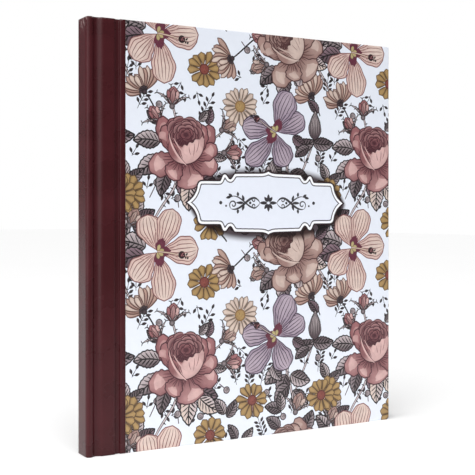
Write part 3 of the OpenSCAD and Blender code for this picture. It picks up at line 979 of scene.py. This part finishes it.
class Nodes:
    """Short way to wire a material's nodes."""

    def __init__(self, name):
        self.material = bpy.data.materials.new(name)
        self.material.use_nodes = True
        self.tree = self.material.node_tree
        self.shader = self.tree.nodes["Principled BSDF"]

    def add(self, kind, **settings):
        """New shader node of a kind."""
        node = self.tree.nodes.new("ShaderNode" + kind)
        for key, value in settings.items():
            setattr(node, key, value)
        return node

    def join(self, source, target):
        self.tree.links.new(source, target)

    def feed(self, target, value):
        """Sets a socket to a value, or links it when the value is another socket."""
        if isinstance(value, bpy.types.NodeSocket):
            self.join(value, target)
        elif isinstance(value, np.ndarray):
            target.default_value = (*value, 1.0)
        else:
            target.default_value = value

    def where(self, stretch=(1, 1, 1)):
        """The piece's own coordinates in millimetres."""
        node = self.add("Mapping")
        node.inputs["Scale"].default_value = [1000 * k for k in stretch]
        self.join(self.add("TexCoord").outputs["Object"], node.inputs["Vector"])
        return node.outputs["Vector"]

    def noise(self, where, size, detail=3.0, rough=0.5):
        """Noise from 0 to 1 whose blotches are about size millimetres across."""
        node = self.add("TexNoise")
        node.inputs["Scale"].default_value = 1 / size
        node.inputs["Detail"].default_value = detail
        node.inputs["Roughness"].default_value = rough
        self.join(where, node.inputs["Vector"])
        return node.outputs["Fac"]

    def pebbles(self, where, size):
        """Rounded cells about size millimetres across."""
        node = self.add("TexVoronoi", feature="SMOOTH_F1")
        node.inputs["Scale"].default_value = 1 / size
        node.inputs["Smoothness"].default_value = 0.4
        self.join(where, node.inputs["Vector"])
        return node.outputs["Distance"]

    def math(self, operation, a, b=0.0):
        """Sum, product or other operation on one or two values."""
        node = self.add("Math", operation=operation)
        self.feed(node.inputs[0], a)
        self.feed(node.inputs[1], b)
        return node.outputs["Value"]

    def times(self, a, b):
        return self.math("MULTIPLY", a, b)

    def ramp(self, value, low, high, to_low=0.0, to_high=1.0):
        """Smooth step from to_low to to_high as value goes from low to high."""
        node = self.add("MapRange", interpolation_type="SMOOTHSTEP")
        for socket, number in zip(node.inputs, (value, low, high, to_low, to_high)):
            self.feed(socket, number)
        return node.outputs["Result"]

    def blend(self, share, a, b, kind="MIX"):
        """Colour a with the share of colour b laid over it."""
        node = self.add("Mix", data_type="RGBA", blend_type=kind)
        self.feed(node.inputs["Factor"], share)
        self.feed(node.inputs[6], a)
        self.feed(node.inputs[7], b)
        return node.outputs[2]

    def bump(self, height, distance, strength):
        """Relief whose height input runs from 0 to 1 over distance millimetres."""
        node = self.add("Bump")
        node.inputs["Strength"].default_value = strength
        node.inputs["Distance"].default_value = distance * MM
        self.join(height, node.inputs["Height"])
        self.join(node.outputs["Normal"], self.shader.inputs["Normal"])

    def set(self, **inputs):
        """Feeds the shader's sockets, named with _ for a space, and gives back the material."""
        for name, value in inputs.items():
            self.feed(self.shader.inputs[name.replace("_", " ")], value)
        return self.material


def split_xyz(m, where):
    """The three coordinates of a vector socket."""
    node = m.add("SeparateXYZ")
    m.join(where, node.inputs["Vector"])
    return node.outputs


def vinyl_material():
    """Glossy maroon leatherette with a fine pebbled grain and pale wear on its ridges."""
    m = Nodes("vinyl")
    p = m.where()
    x, _, z = split_xyz(m, p)
    grain = m.pebbles(m.where((1, 1, 0.7)), 0.75)
    fine = m.noise(p, 0.35, 2)
    blotch = m.noise(p, 22, 3)
    base = m.blend(m.ramp(blotch, 0.3, 0.7), rgb("3f171c"), rgb("491c22"))
    base = m.blend(m.times(fine, 0.5), base, rgb("34100f"))
    flecks = m.noise(m.where((1.5, 1.5, 0.4)), 1.7, 5, 0.7)
    worn = m.ramp(m.times(flecks, m.ramp(z, HEIGHT - 35, HEIGHT - 2)), 0.5, 0.62)
    edge = m.ramp(m.math("ABSOLUTE", m.math("ADD", x, 0.5 - LEFT)), 1.4, 0.2)
    rim = m.ramp(z, HEIGHT - 1.4, HEIGHT - 0.3)
    worn = m.times(worn, m.math("MAXIMUM", edge, m.times(rim, 0.6)))
    base = m.blend(m.times(worn, 0.6), base, rgb("b9a5a2"))
    m.bump(m.math("ADD", m.times(grain, 0.75), m.times(fine, 0.35)), 0.03, 0.4)
    return m.set(Base_Color=base, Roughness=m.ramp(blotch, 0.2, 0.8, 0.24, 0.32), Specular_IOR_Level=0.2,
                 Coat_Weight=0.03, Coat_Roughness=0.12)


def plate_shadow(m, where, printed):
    """Share of the printed shadow under and just beyond the name plate. printed is 0 on the plate itself."""
    x, _, z = split_xyz(m, where)
    half_wide, high = 66.0, 62.0
    curve = m.add("FloatCurve")
    points = curve.mapping.curves[0].points
    for n, (at, height) in enumerate(((0.0, 0.36), (0.55, 0.33), (0.82, 0.22), (1.0, 0.0))):
        point = points[n] if n < len(points) else points.new(at, height)
        point.location = (at, height)
    curve.mapping.update()
    aside = m.math("ABSOLUTE", m.math("SUBTRACT", x, LEFT + PLATE_AT[0] + 1.6))
    above = m.math("ABSOLUTE", m.math("SUBTRACT", z, PLATE_AT[1] - 1.2))
    m.feed(curve.inputs["Value"], m.math("DIVIDE", aside, half_wide))
    edge = m.math("SUBTRACT", above, m.times(curve.outputs["Value"], high))
    shadow = m.times(m.ramp(edge, -1.0, 5.5, 0.95, 0.0), m.ramp(aside, 64, 70, 1.0, 0.0))
    return m.times(shadow, printed)


def print_material(with_plate):
    """Printed paper under a thin gloss film. The inks are a little uneven, the bare paper hardly at all."""
    m = Nodes("plate_print" if with_plate else "floral_print")
    p = m.where()
    ink = m.add("Attribute", attribute_name="ink")
    grain = m.noise(p, 0.6, 4, 0.65)
    wash = m.noise(p, 5, 4, 0.6)
    paleness = m.add("RGBToBW")
    m.join(ink.outputs["Color"], paleness.inputs["Color"])
    inked = m.ramp(paleness.outputs["Val"], 0.6, 0.72, 1.0, 0.12)
    uneven = m.times(m.ramp(wash, 0.3, 0.75, 0.0, 0.22), inked)
    colour = m.blend(uneven, ink.outputs["Color"], rgb("8a7a80"), "MULTIPLY")
    colour = m.blend(m.ramp(grain, 0.4, 0.8, 0.0, 0.05), colour, rgb("d8d4d8"))
    if with_plate:
        colour = m.blend(plate_shadow(m, p, ink.outputs["Alpha"]), colour, rgb("3a2226"), "MULTIPLY")
    m.bump(m.math("ADD", m.times(m.noise(p, 9, 3), 0.8), m.times(grain, 0.05)), 0.05, 0.25)
    return m.set(Base_Color=colour, Roughness=m.ramp(wash, 0.2, 0.8, 0.3, 0.4), Specular_IOR_Level=0.4)


def board_material(name, light, dark, fibre=0.8):
    """Uncoated card or board with speckled fibres."""
    m = Nodes(name)
    p = m.where()
    speck = m.noise(p, fibre, 5, 0.7)
    blotch = m.noise(m.where((1, 1, 0.2)), 6, 3)
    base = m.blend(m.ramp(speck, 0.35, 0.7), rgb(light), rgb(dark))
    base = m.blend(m.ramp(blotch, 0.3, 0.8, 0.0, 0.2), base, rgb(dark))
    m.bump(speck, 0.04, 0.5)
    return m.set(Base_Color=base, Roughness=m.ramp(speck, 0.2, 0.8, 0.77, 0.9))


def film_material():
    """Clear polypropylene film with faint haze and ripples."""
    m = Nodes("clear_film")
    p = m.where()
    ripple = m.noise(m.where((1, 1, 0.35)), 18, 2)
    haze = m.noise(p, 4, 4, 0.6)
    base = m.blend(m.ramp(haze, 0.3, 0.8), rgb("eef4f8"), rgb("dfe8ee"))
    m.bump(ripple, 0.5, 0.35)
    return m.set(Base_Color=base, Roughness=m.ramp(haze, 0.2, 0.8, 0.08, 0.16), Alpha=0.13, IOR=1.49)


def weld_material():
    """Film that is welded along a seam: a little milky, with a fine embossed grain."""
    m = Nodes("film_weld")
    grain = m.noise(m.where((3, 3, 3)), 1.0, 2)
    base = m.blend(m.ramp(grain, 0.3, 0.7), rgb("f4f8fa"), rgb("d5dee4"))
    m.bump(grain, 0.05, 0.6)
    return m.set(Base_Color=base, Roughness=m.ramp(grain, 0.2, 0.8, 0.25, 0.4), Alpha=0.78, IOR=1.49)


def brass_material():
    """Brass with fine scratches."""
    m = Nodes("post_brass")
    scratch = m.noise(m.where((1, 6, 1)), 2, 4)
    base = m.blend(m.ramp(scratch, 0.3, 0.7), rgb("c9b27a"), rgb("a98f58"))
    m.bump(scratch, 0.02, 0.4)
    return m.set(Base_Color=base, Metallic=1.0, Roughness=m.ramp(scratch, 0.2, 0.8, 0.22, 0.4))


def stage_material():
    """Matt white table top."""
    m = Nodes("studio_floor")
    p = m.where()
    tone = m.blend(m.noise(p, 400, 2), rgb("fcfcfc"), rgb("fefefe"))
    return m.set(Base_Color=tone, Roughness=0.9, Specular_IOR_Level=0.05)


# ---------------------------------------------------------------- vinyl

STRIP_GROOVE = 2.2  # how deep the grooves beside the binding strips are
HINGE_GROOVE = 1.6  # how deep the groove is that a cover hinges at
INNER_FACE = 2.5  # how far the case's inner faces are under its outer faces


def arc(centre, radius, start, end, steps):
    """Points along part of a circle, from one angle to another in degrees."""
    angle = np.radians(np.linspace(start, end, steps + 1))
    return [(centre[0] + radius * math.cos(a), centre[1] + radius * math.sin(a)) for a in angle]


def extruded(outline, rounds, low, high, steps=4):
    """Closed bar along Z from an anticlockwise outline. Its ends are rounded by rounds, given per point."""
    flat = np.array(outline, float)
    along = np.roll(flat, -1, 0) - np.roll(flat, 1, 0)
    normal = np.column_stack([along[:, 1], -along[:, 0]])
    normal /= np.linalg.norm(normal, axis=1)[:, None]
    rounds = np.array(rounds, float)[:, None]
    start, end = [], []
    for k in range(steps + 1):
        angle = math.pi / 2 * k / steps
        ring = flat - normal * rounds * (1 - math.sin(angle))
        rise = rounds * (1 - math.cos(angle))
        start.append((ring, low + rise))
        end.append((ring, high - rise))
    middle = [(flat, np.full_like(rounds, z)) for z in np.linspace(low + 12, high - 12, 11)]
    return np.array([np.hstack([ring, z]) for ring, z in start + middle + end[::-1]])


def rings_mesh(name, rings, cavities=()):
    """Mesh from stacked rings, closed at both ends, with hollows for the boards inside."""
    size = rings.shape[1]
    mesh = bmesh.new()
    verts = [[mesh.verts.new(point * MM) for point in ring] for ring in rings]
    for a, b in zip(verts, verts[1:]):
        for k in range(size):
            n = (k + 1) % size
            mesh.faces.new((a[k], a[n], b[n], b[k]))
    mesh.faces.new(list(reversed(verts[0])))
    mesh.faces.new(verts[-1])
    for outline in cavities:
        hollow(mesh, outline)
    return finish_mesh(name, mesh, 50)


def hollow(mesh, outline):
    """Inward-facing walls along a board's outline."""
    bottom = [mesh.verts.new(Vector((x, y, SKIN)) * MM) for x, y in outline]
    top = [mesh.verts.new(Vector((x, y, HEIGHT - SKIN)) * MM) for x, y in outline]
    for k in range(len(outline)):
        n = (k + 1) % len(outline)
        mesh.faces.new((bottom[n], bottom[k], top[k], top[n]))
    mesh.faces.new(bottom)
    mesh.faces.new(top[::-1])


def board_outline(left, right, near, far, legs):
    """Anticlockwise outline of a board; legs are how much is trimmed off each of its four corners."""
    corners = ((left, near), (right, near), (right, far), (left, far))
    out = []
    for k, (x, y) in enumerate(corners):
        before, after = corners[k - 1], corners[(k + 1) % 4]
        for other in (before, after) if legs[k] else (before,):
            reach = legs[k] / max(math.hypot(other[0] - x, other[1] - y), 1e-6)
            out.append((x + (other[0] - x) * reach, y + (other[1] - y) * reach))
    return out


def trim_board(node, body, outline, material):
    """Stands for a CAD board, with the corners trimmed off that the rounded vinyl would not cover."""
    mesh = bmesh.new()
    mesh.from_mesh(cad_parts[node].data)
    bmesh.ops.remove_doubles(mesh, verts=mesh.verts, dist=1e-7)
    for (x0, y0), (x1, y1) in zip(outline, outline[1:] + outline[:1]):
        if min(abs(x1 - x0), abs(y1 - y0)) > 0.01:
            cut_off(mesh, (x0 * MM, y0 * MM, 0), (y1 - y0, x0 - x1, 0))
    name = node + "_trimmed"
    adopt(name, finish_mesh(name, mesh, 30), body, material, [node])


def cut_off(mesh, at, towards):
    """Removes what lies beyond a plane and closes the cut."""
    cut = bmesh.ops.bisect_plane(mesh, geom=mesh.verts[:] + mesh.edges[:] + mesh.faces[:], dist=1e-8,
                                 plane_co=at, plane_no=towards, clear_outer=True)
    rim = [item for item in cut["geom_cut"] if isinstance(item, bmesh.types.BMEdge) and item.is_boundary]
    bmesh.ops.edgeloop_fill(mesh, edges=rim)


def finish_mesh(name, mesh, smooth_angle):
    """Mesh data from a bmesh, smooth except at edges sharper than smooth_angle."""
    out = bpy.data.meshes.new(name)
    bmesh.ops.triangulate(mesh, faces=[face for face in mesh.faces if len(face.verts) > 4])
    mesh.to_mesh(out)
    mesh.free()
    for polygon in out.polygons:
        polygon.use_smooth = True
    out.set_sharp_from_angle(angle=math.radians(smooth_angle))
    return out


def soften(path, reach):
    """Path resampled every 0.3 mm, with its corners rounded over about reach millimetres."""
    path = np.array(path)
    along = np.concatenate([[0], np.cumsum(np.hypot(*np.diff(path, axis=0).T))])
    count = int(along[-1] / 0.3)
    even = np.linspace(0, along[-1], count)
    line = np.column_stack([np.interp(even, along, path[:, k]) for k in (0, 1)])
    for _ in range(round((reach / 0.3) ** 2)):
        line[1:-1] = (line[:-2] + 2 * line[1:-1] + line[2:]) / 4
    return [tuple(point) for point in line]


def both_halves(half):
    """A line drawn on the front half, and back along its mirror image on the back half."""
    return half + [(x, -y) for x, y in reversed(half)]


def spine_outline(outer, spine_in):
    """Section through the vinyl of the whole case back. outer is the front face's Y."""
    groove, inside = outer + STRIP_GROOVE, outer + INNER_FACE
    spine_out = LEFT + SPINE_W
    half = [(STRIP_END, groove - 0.2)]
    half += arc((STRIP_END - 1.3, outer + 1.3), 1.3, 0, -90, 7)
    half += [(STRIP_START + 1.6, outer), (STRIP_START + 0.5, outer + 0.5), (STRIP_START, outer + 1.4)]
    half += [(STRIP_START - 1.2, groove), (spine_out + 1.2, groove), (spine_out, outer + 1.4)]
    half += [(spine_out - 0.5, outer + 0.5), (spine_out - 1.4, outer)]
    half += arc((LEFT + 2.0, outer + 2.0), 2.0, 270, 180, 9)
    half = [(STRIP_END, inside)] + soften(half, 1.0) + [(LEFT, outer + 4), (LEFT, outer + 7)]
    inner = [(STRIP_END, -inside), (STRIP_START, -inside), (spine_in + 0.3, -inside), (spine_in, -inside),
             (spine_in, inside), (spine_in + 0.3, inside), (STRIP_START, inside)]
    return (both_halves(half)[1:-1] + inner)[::-1]


def build_spine(material, board):
    """The vinyl over the spine, both first grooves and both binding strips, as one skin round its boards."""
    outer = -HALF_T
    spine_in = LEFT + SPINE_W - SKIN
    outline = spine_outline(outer, spine_in)
    soft = [0.55 if abs(y) > HALF_T - 1.4 or x < LEFT + 1.5 else 0.06 for x, y in outline]
    strip = board_outline(STRIP_START + SKIN, STRIP_END - SKIN, outer + SKIN, outer + INNER_FACE - 0.02,
                          (1.5, 1.5, 0, 0))
    boards = {
        "spine_board": board_outline(LEFT + SKIN, spine_in - 0.02, outer + SKIN, HALF_T - SKIN,
                                     (1.7, 1.5, 1.5, 1.7)),
        "front_strip_board": strip,
        "back_strip_board": [(x, -y) for x, y in reversed(strip)],
    }
    mesh = rings_mesh("spine_vinyl", extruded(outline, soft, 0.0, HEIGHT), boards.values())
    adopt("spine_vinyl", mesh, "binding", material, ["spine_covering"])
    for node, shape in boards.items():
        trim_board(node, "binding", shape, board)


def thickened(path, thick):
    """Closed outline of a strip that lies to the left of a path."""
    line = np.array(path)
    step = np.gradient(line, axis=0)
    normal = np.column_stack([-step[:, 1], step[:, 0]]) / np.linalg.norm(step, axis=1)[:, None]
    return [tuple(point) for point in line] + [tuple(point) for point in (line + normal * thick)[::-1]]


def extruded_on(sign, outline, rounds, low, high, steps=4):
    """Bar from an outline drawn for the front, or from its mirror image for the back."""
    pairs = [((x, sign * y), r) for (x, y), r in zip(outline, rounds)]
    if area([point for point, _ in pairs]) < 0:
        pairs = pairs[::-1]
    return extruded([point for point, _ in pairs], [r for _, r in pairs], low, high, steps)


def build_groove(side, sign, material):
    """The soft vinyl in one hinge groove; it rides on no body."""
    name = side + "_groove_vinyl"
    bed = HINGE_GROOVE - HALF_T
    left, right = STRIP_END, COVER_EDGE
    thick, turn = 0.28, 0.55
    path = [(left - thick, bed - 2 * turn), (left - 0.05, bed - 0.5)]
    path += arc((left + turn, bed - turn), turn, 180, 90, 4)
    path += [(x, bed) for x in np.linspace(left + turn, right - turn, 9)[1:-1]]
    path += arc((right - turn, bed - turn), turn, 90, 0, 4)
    path += [(right + 0.05, bed - 0.5), (right + thick, bed - 2 * turn)]
    outline = thickened(path, thick)
    rings = extruded_on(sign, outline, [0.05] * len(outline), 0.1, HEIGHT - 0.1, 2)
    groove = adopt(name, rings_mesh(name, rings), None, material)
    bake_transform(groove)


def build_edge(side, sign, material):
    """The vinyl over the hinge edge of one cover's board, up to the printed paper."""
    name = side + "_edge_vinyl"
    outer = -HALF_T
    back = outer + 2.42
    end = PAPER_START
    outline = [(end, back), (COVER_EDGE, back)] + arc((COVER_EDGE + 1.0, outer + 1.0), 1.0, 180, 270, 7)
    outline += [(end - 0.75, outer), (end - 0.55, outer + 0.05), (end - 0.45, outer + 0.2)]
    outline += [(end, outer + 0.22)]
    soft = [0.05, 0.05] + [0.45] * (len(outline) - 5) + [0.3, 0.2, 0.2]
    near, far = sorted((sign * (outer + 0.3), sign * (outer + 2.3)))
    cavity = board_outline(COVER_START, end - 0.02, near, far, (0, 0, 0, 0))
    mesh = rings_mesh(name, extruded_on(sign, outline, soft, 0.0, HEIGHT), [cavity])
    adopt(name, mesh, side + "_cover", material, [side + "_hinge_vinyl"])


def area(outline):
    """Area of a closed outline: negative when it runs clockwise."""
    p = np.array(outline)
    q = np.roll(p, -1, 0)
    return float((p[:, 0] * q[:, 1] - p[:, 1] * q[:, 0]).sum()) / 2


# ---------------------------------------------------------------- leaves

WELD = 2.5  # width of the welded seams
FILM = 0.1  # thickness of a film
CLEAR, WELDED = 0, 1  # a sleeve's material slots
FILM_ROWS = 24
BEND_REACH = 1.6  # how far a leaf's film is finely divided on each side of its crease


class Pocket:
    """Sleeve of two films welded at both sides and the tail, open at the head, that fattens over its card.

    Its corners are counted in columns i and rows j. A side is -1 at the front and 1 at the back.
    """

    def __init__(self, x, y, z, half_thick):
        self.x, self.y, self.z, self.half_thick = x, y, z, half_thick
        self.wide, high = x[1] - x[0], z[1] - z[0]
        ramp = [0, 0.12, 0.8, 1.6, WELD, 3.2, 4.2, 5.4, 7.0, 9.0]
        self.xs = ramp + [9 + (self.wide - 18) * k / 14 for k in range(1, 14)]
        self.xs += [self.wide - v for v in reversed(ramp)]
        self.zs = ramp + [9 + (high - 9) * k / 18 for k in range(1, 19)]
        self.columns, self.rows = len(self.xs) - 1, len(self.zs) - 1
        self.base = self.first = ramp.index(WELD)
        self.last = self.columns - self.first
        self.mesh, self.verts = bmesh.new(), {}

    def corner(self, i, j, side, inner=False):
        """One corner on the outer or the inner face of a film."""
        key = (i, j, side, inner)
        if key not in self.verts:
            edge = min(self.xs[i], self.wide - self.xs[i], self.zs[j])
            step = min(max((edge - WELD) / 5, 0), 1)
            rounded = 0.06 + 0.05 * min(edge / 0.12, 1)
            half = rounded + (self.half_thick - 0.11) * step * step * (3 - 2 * step)
            point = (self.x[0] + self.xs[i], self.y + side * (half - FILM * inner), self.z[0] + self.zs[j])
            self.verts[key] = self.mesh.verts.new(Vector(point) * MM)
        return self.verts[key]

    def wall(self, a, b, inner=False):
        """Joins the front and the back between two corners, each given as (column, row)."""
        ring = [self.corner(*at, side, inner) for at, side in ((a, -1), (b, -1), (b, 1), (a, 1))]
        self.mesh.faces.new(ring).material_index = WELDED

    def faces(self):
        """The outer faces, and the inner ones where the films part."""
        for i in range(self.columns):
            for j in range(self.rows):
                is_open = self.first <= i < self.last and j >= self.base
                for side in (-1, 1):
                    for inner in (False, True) if is_open else (False,):
                        ring = ((i, j), (i + 1, j), (i + 1, j + 1), (i, j + 1))
                        ring = ring if (side < 0) != inner else ring[::-1]
                        face = self.mesh.faces.new([self.corner(*at, side, inner) for at in ring])
                        face.material_index = CLEAR if is_open else WELDED

    def rims(self):
        """The walls round the outside, and the ones where the pocket ends at a weld."""
        for i in range(self.columns):
            self.wall((i + 1, 0), (i, 0))
            if self.first <= i < self.last:
                self.wall((i, self.base), (i + 1, self.base), True)
            else:
                self.wall((i, self.rows), (i + 1, self.rows))
        for j in range(self.rows):
            self.wall((0, j), (0, j + 1))
            self.wall((self.columns, j + 1), (self.columns, j))
            if j >= self.base:
                self.wall((self.first, j + 1), (self.first, j), True)
                self.wall((self.last, j), (self.last, j + 1), True)

    def mouth(self):
        """The films' own edges at the head, where the card goes in."""
        top = self.rows
        for i in range(self.first, self.last):
            for side in (-1, 1):
                lip = [self.corner(at, top, side, inner)
                       for at, inner in ((i, False), (i + 1, False), (i + 1, True), (i, True))]
                self.mesh.faces.new(lip if side < 0 else lip[::-1])
        for i in (self.first, self.last):
            end = [self.corner(i, top, side, inner)
                   for side, inner in ((-1, False), (-1, True), (1, True), (1, False))]
            self.mesh.faces.new(end if i == self.first else end[::-1])

    def finished(self, name):
        """Mesh data with every face turned outwards."""
        bmesh.ops.recalc_face_normals(self.mesh, faces=self.mesh.faces)
        return finish_mesh(name, self.mesh, 40)


def pocket_mesh(name, x, y, z, half_thick):
    """One leaf's clear sleeve. x and z are its (low, high) ends, and y is its middle."""
    pocket = Pocket(x, y, z, half_thick)
    pocket.faces()
    pocket.rims()
    pocket.mouth()
    return pocket.finished(name)


def strip_mesh(name, xs, y, thick, z):
    """Flat strip between the two heights z, with cross lines at xs, so that it can bend."""
    mesh = bmesh.new()
    heights = np.linspace(*z, FILM_ROWS + 1)
    front, back = ([[mesh.verts.new(Vector((x, y + off, h)) * MM) for h in heights] for x in xs]
                   for off in (-thick / 2, thick / 2))
    for i in range(len(xs) - 1):
        for j in range(FILM_ROWS):
            mesh.faces.new((front[i][j], front[i + 1][j], front[i + 1][j + 1], front[i][j + 1]))
            mesh.faces.new((back[i][j], back[i][j + 1], back[i + 1][j + 1], back[i + 1][j]))
        mesh.faces.new((front[i][0], back[i][0], back[i + 1][0], front[i + 1][0]))
        mesh.faces.new((front[i][-1], front[i + 1][-1], back[i + 1][-1], back[i][-1]))
    for j in range(FILM_ROWS):
        mesh.faces.new((front[0][j], front[0][j + 1], back[0][j + 1], back[0][j]))
        mesh.faces.new((front[-1][j], back[-1][j], back[-1][j + 1], front[-1][j + 1]))
    return finish_mesh(name, mesh, 60)


def guard_mesh(name, node, end):
    """The CAD stub without its film: a stiff card with the post holes."""
    mesh = bmesh.new()
    mesh.from_mesh(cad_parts[node].data)
    bmesh.ops.remove_doubles(mesh, verts=mesh.verts, dist=1e-7)
    cut_off(mesh, (end * MM, 0, 0), (1, 0, 0))
    return finish_mesh(name, mesh, 30)


def build_leaf(leaf_name, guard_material, film, weld):
    """One leaf: the card guard on the posts, the hinge film, finely divided at its crease, and the clear
    pocket.
    """
    stub, sleeve, card = leaf_name + "_stub", leaf_name + "_sleeve", leaf_name + "_card"
    x, y, z = (span(sleeve, axis) for axis in (X, Y, Z))
    middle, half_thick = (y[0] + y[1]) / 2, (y[1] - y[0]) / 2
    crease = (span(stub, X)[1] + x[0]) / 2
    guard_end = HINGE_X + 0.8
    pocket_start = span(card, X)[0] - 2 * WELD

    name = leaf_name + "_guard"
    adopt(name, guard_mesh(name, stub, guard_end), "binding", guard_material, [stub])

    name = leaf_name + "_pocket"
    pocket = adopt(name, pocket_mesh(name, (pocket_start, x[1]), middle, z, half_thick), leaf_name, None,
                   [sleeve])
    pocket.data.materials.append(film)
    pocket.data.materials.append(weld)

    name = leaf_name + "_hinge_film"
    xs = [crease + BEND_REACH * k / 10 for k in range(-10, 11)]
    if xs[0] > guard_end:
        xs.insert(0, guard_end - 0.1)
    xs += [crease + (pocket_start + 0.4 - crease) * k / 4 for k in range(2, 5)]
    mesh = strip_mesh(name, xs, middle, 0.15, (z[0] + 0.3, z[1] - 0.3))
    strip = adopt(name, mesh, None, film)
    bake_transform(strip)


# ---------------------------------------------------------------- the whole album


def build_cover(side, shift, is_front):
    """One cover's printed paper. shift is where one pink flower, the pattern's origin, lies on the sheet."""
    piece = print_sheet(side + "_print", side + "_cover", not is_front, shift, is_front)
    piece.data.materials.append(print_material(is_front))
    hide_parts(side + "_cover_paper")


def dress_cad(materials):
    """Gives the carried-over CAD nodes their materials."""
    for name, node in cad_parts.items():
        if node.hide_render:
            continue
        for ending, material in materials:
            if name.endswith(ending):
                node.data.materials.clear()
                node.data.materials.append(material)


def build_camera():
    """The photograph's view, fitted to the album's outline."""
    camera = bpy.data.objects.new("camera", bpy.data.cameras.new("camera"))
    bpy.context.scene.collection.objects.link(camera)
    camera.location = (-0.36706, -0.62504, 0.160)
    camera.rotation_euler = Vector((0.5, math.sqrt(0.75), 0)).to_track_quat("-Z", "Y").to_euler()
    camera.data.lens = 75.8
    camera.data.sensor_width = 36
    camera.data.shift_y = -0.0495
    camera.data.clip_start = 0.01
    bpy.context.scene.camera = camera


def lamp(name, kind, at, target, energy, **settings):
    """Light at a place, aimed at a target."""
    data = bpy.data.lights.new(name, kind)
    data.energy = energy
    for key, value in settings.items():
        setattr(data, key, value)
    light = bpy.data.objects.new(name, data)
    light.location = at
    light.rotation_euler = (Vector(target) - Vector(at)).to_track_quat("-Z", "Y").to_euler()
    bpy.context.scene.collection.objects.link(light)


def build_world():
    """White backdrop: full white in the picture, but only a dim light on the album."""
    world = bpy.data.worlds.new("studio")
    world.use_nodes = True
    tree = world.node_tree
    background = tree.nodes["Background"]
    seen = tree.nodes.new("ShaderNodeLightPath")
    strength = tree.nodes.new("ShaderNodeMix")
    strength.inputs["A"].default_value = 0.195
    strength.inputs["B"].default_value = 1.0
    tree.links.new(seen.outputs["Is Camera Ray"], strength.inputs["Factor"])
    tree.links.new(strength.outputs["Result"], background.inputs["Strength"])
    background.inputs["Color"].default_value = (1, 1, 1, 1)
    bpy.context.scene.world = world


def build_floor():
    """Plain white table top, longer behind the album than in front."""
    grid = bmesh.new()
    bmesh.ops.create_grid(grid, x_segments=24, y_segments=24, size=5)
    bmesh.ops.translate(grid, verts=grid.verts, vec=(0, 4.42, 0))
    mesh = bpy.data.meshes.new("floor")
    grid.to_mesh(mesh)
    grid.free()
    mesh.materials.append(stage_material())
    ground = bpy.data.objects.new("floor", mesh)
    bpy.context.scene.collection.objects.link(ground)


def build_studio():
    """The table, a broad overhead light, and a softbox in front and to the left."""
    bpy.context.scene.view_settings.view_transform = "Standard"
    build_world()
    lamp("overhead", "SUN", (-0.4, -0.45, 1.1), (0, 0, 0), 2.9, angle=math.radians(70))
    lamp("front_softbox", "AREA", (-0.9, -1.9, 0.9), (0, 0, 0.15), 8, size=1.8)
    lamp("left_softbox", "AREA", (-1.6, -0.4, 0.4), (-0.1, 0, 0.12), 17, size=1.8)
    build_floor()


build_camera()
build_studio()
build_cover("front", 23.6 + 134.4j, True)
build_cover("back", 150 + 60j, False)
vinyl = vinyl_material()
greyboard = board_material("greyboard", "a79d90", "8b8175")
build_spine(vinyl, greyboard)
for side, sign in (("front", 1), ("back", -1)):
    build_groove(side, sign, vinyl)
    build_edge(side, sign, vinyl)
guard, film, weld = board_material("guard_card", "efe9dc", "ddd4c4", 0.6), film_material(), weld_material()
for n in range(LEAVES):
    build_leaf(f"leaf_{n + 1:02d}", guard, film, weld)
dress_cad((
    ("_board", greyboard),
    ("_endpaper", board_material("endpaper", "f3efe6", "e6dfd2", 0.5)),
    ("_card", board_material("insert_card", "f7f4ee", "ece7dc", 0.5)),
    ("_flap", board_material("flap_card", "3f2426", "2f191b", 0.6)),
    ("_lining", board_material("lining_paper", "5a3436", "472628", 0.6)),
    ("post_barrels", brass_material()),
    ("post_screws", brass_material()),
))
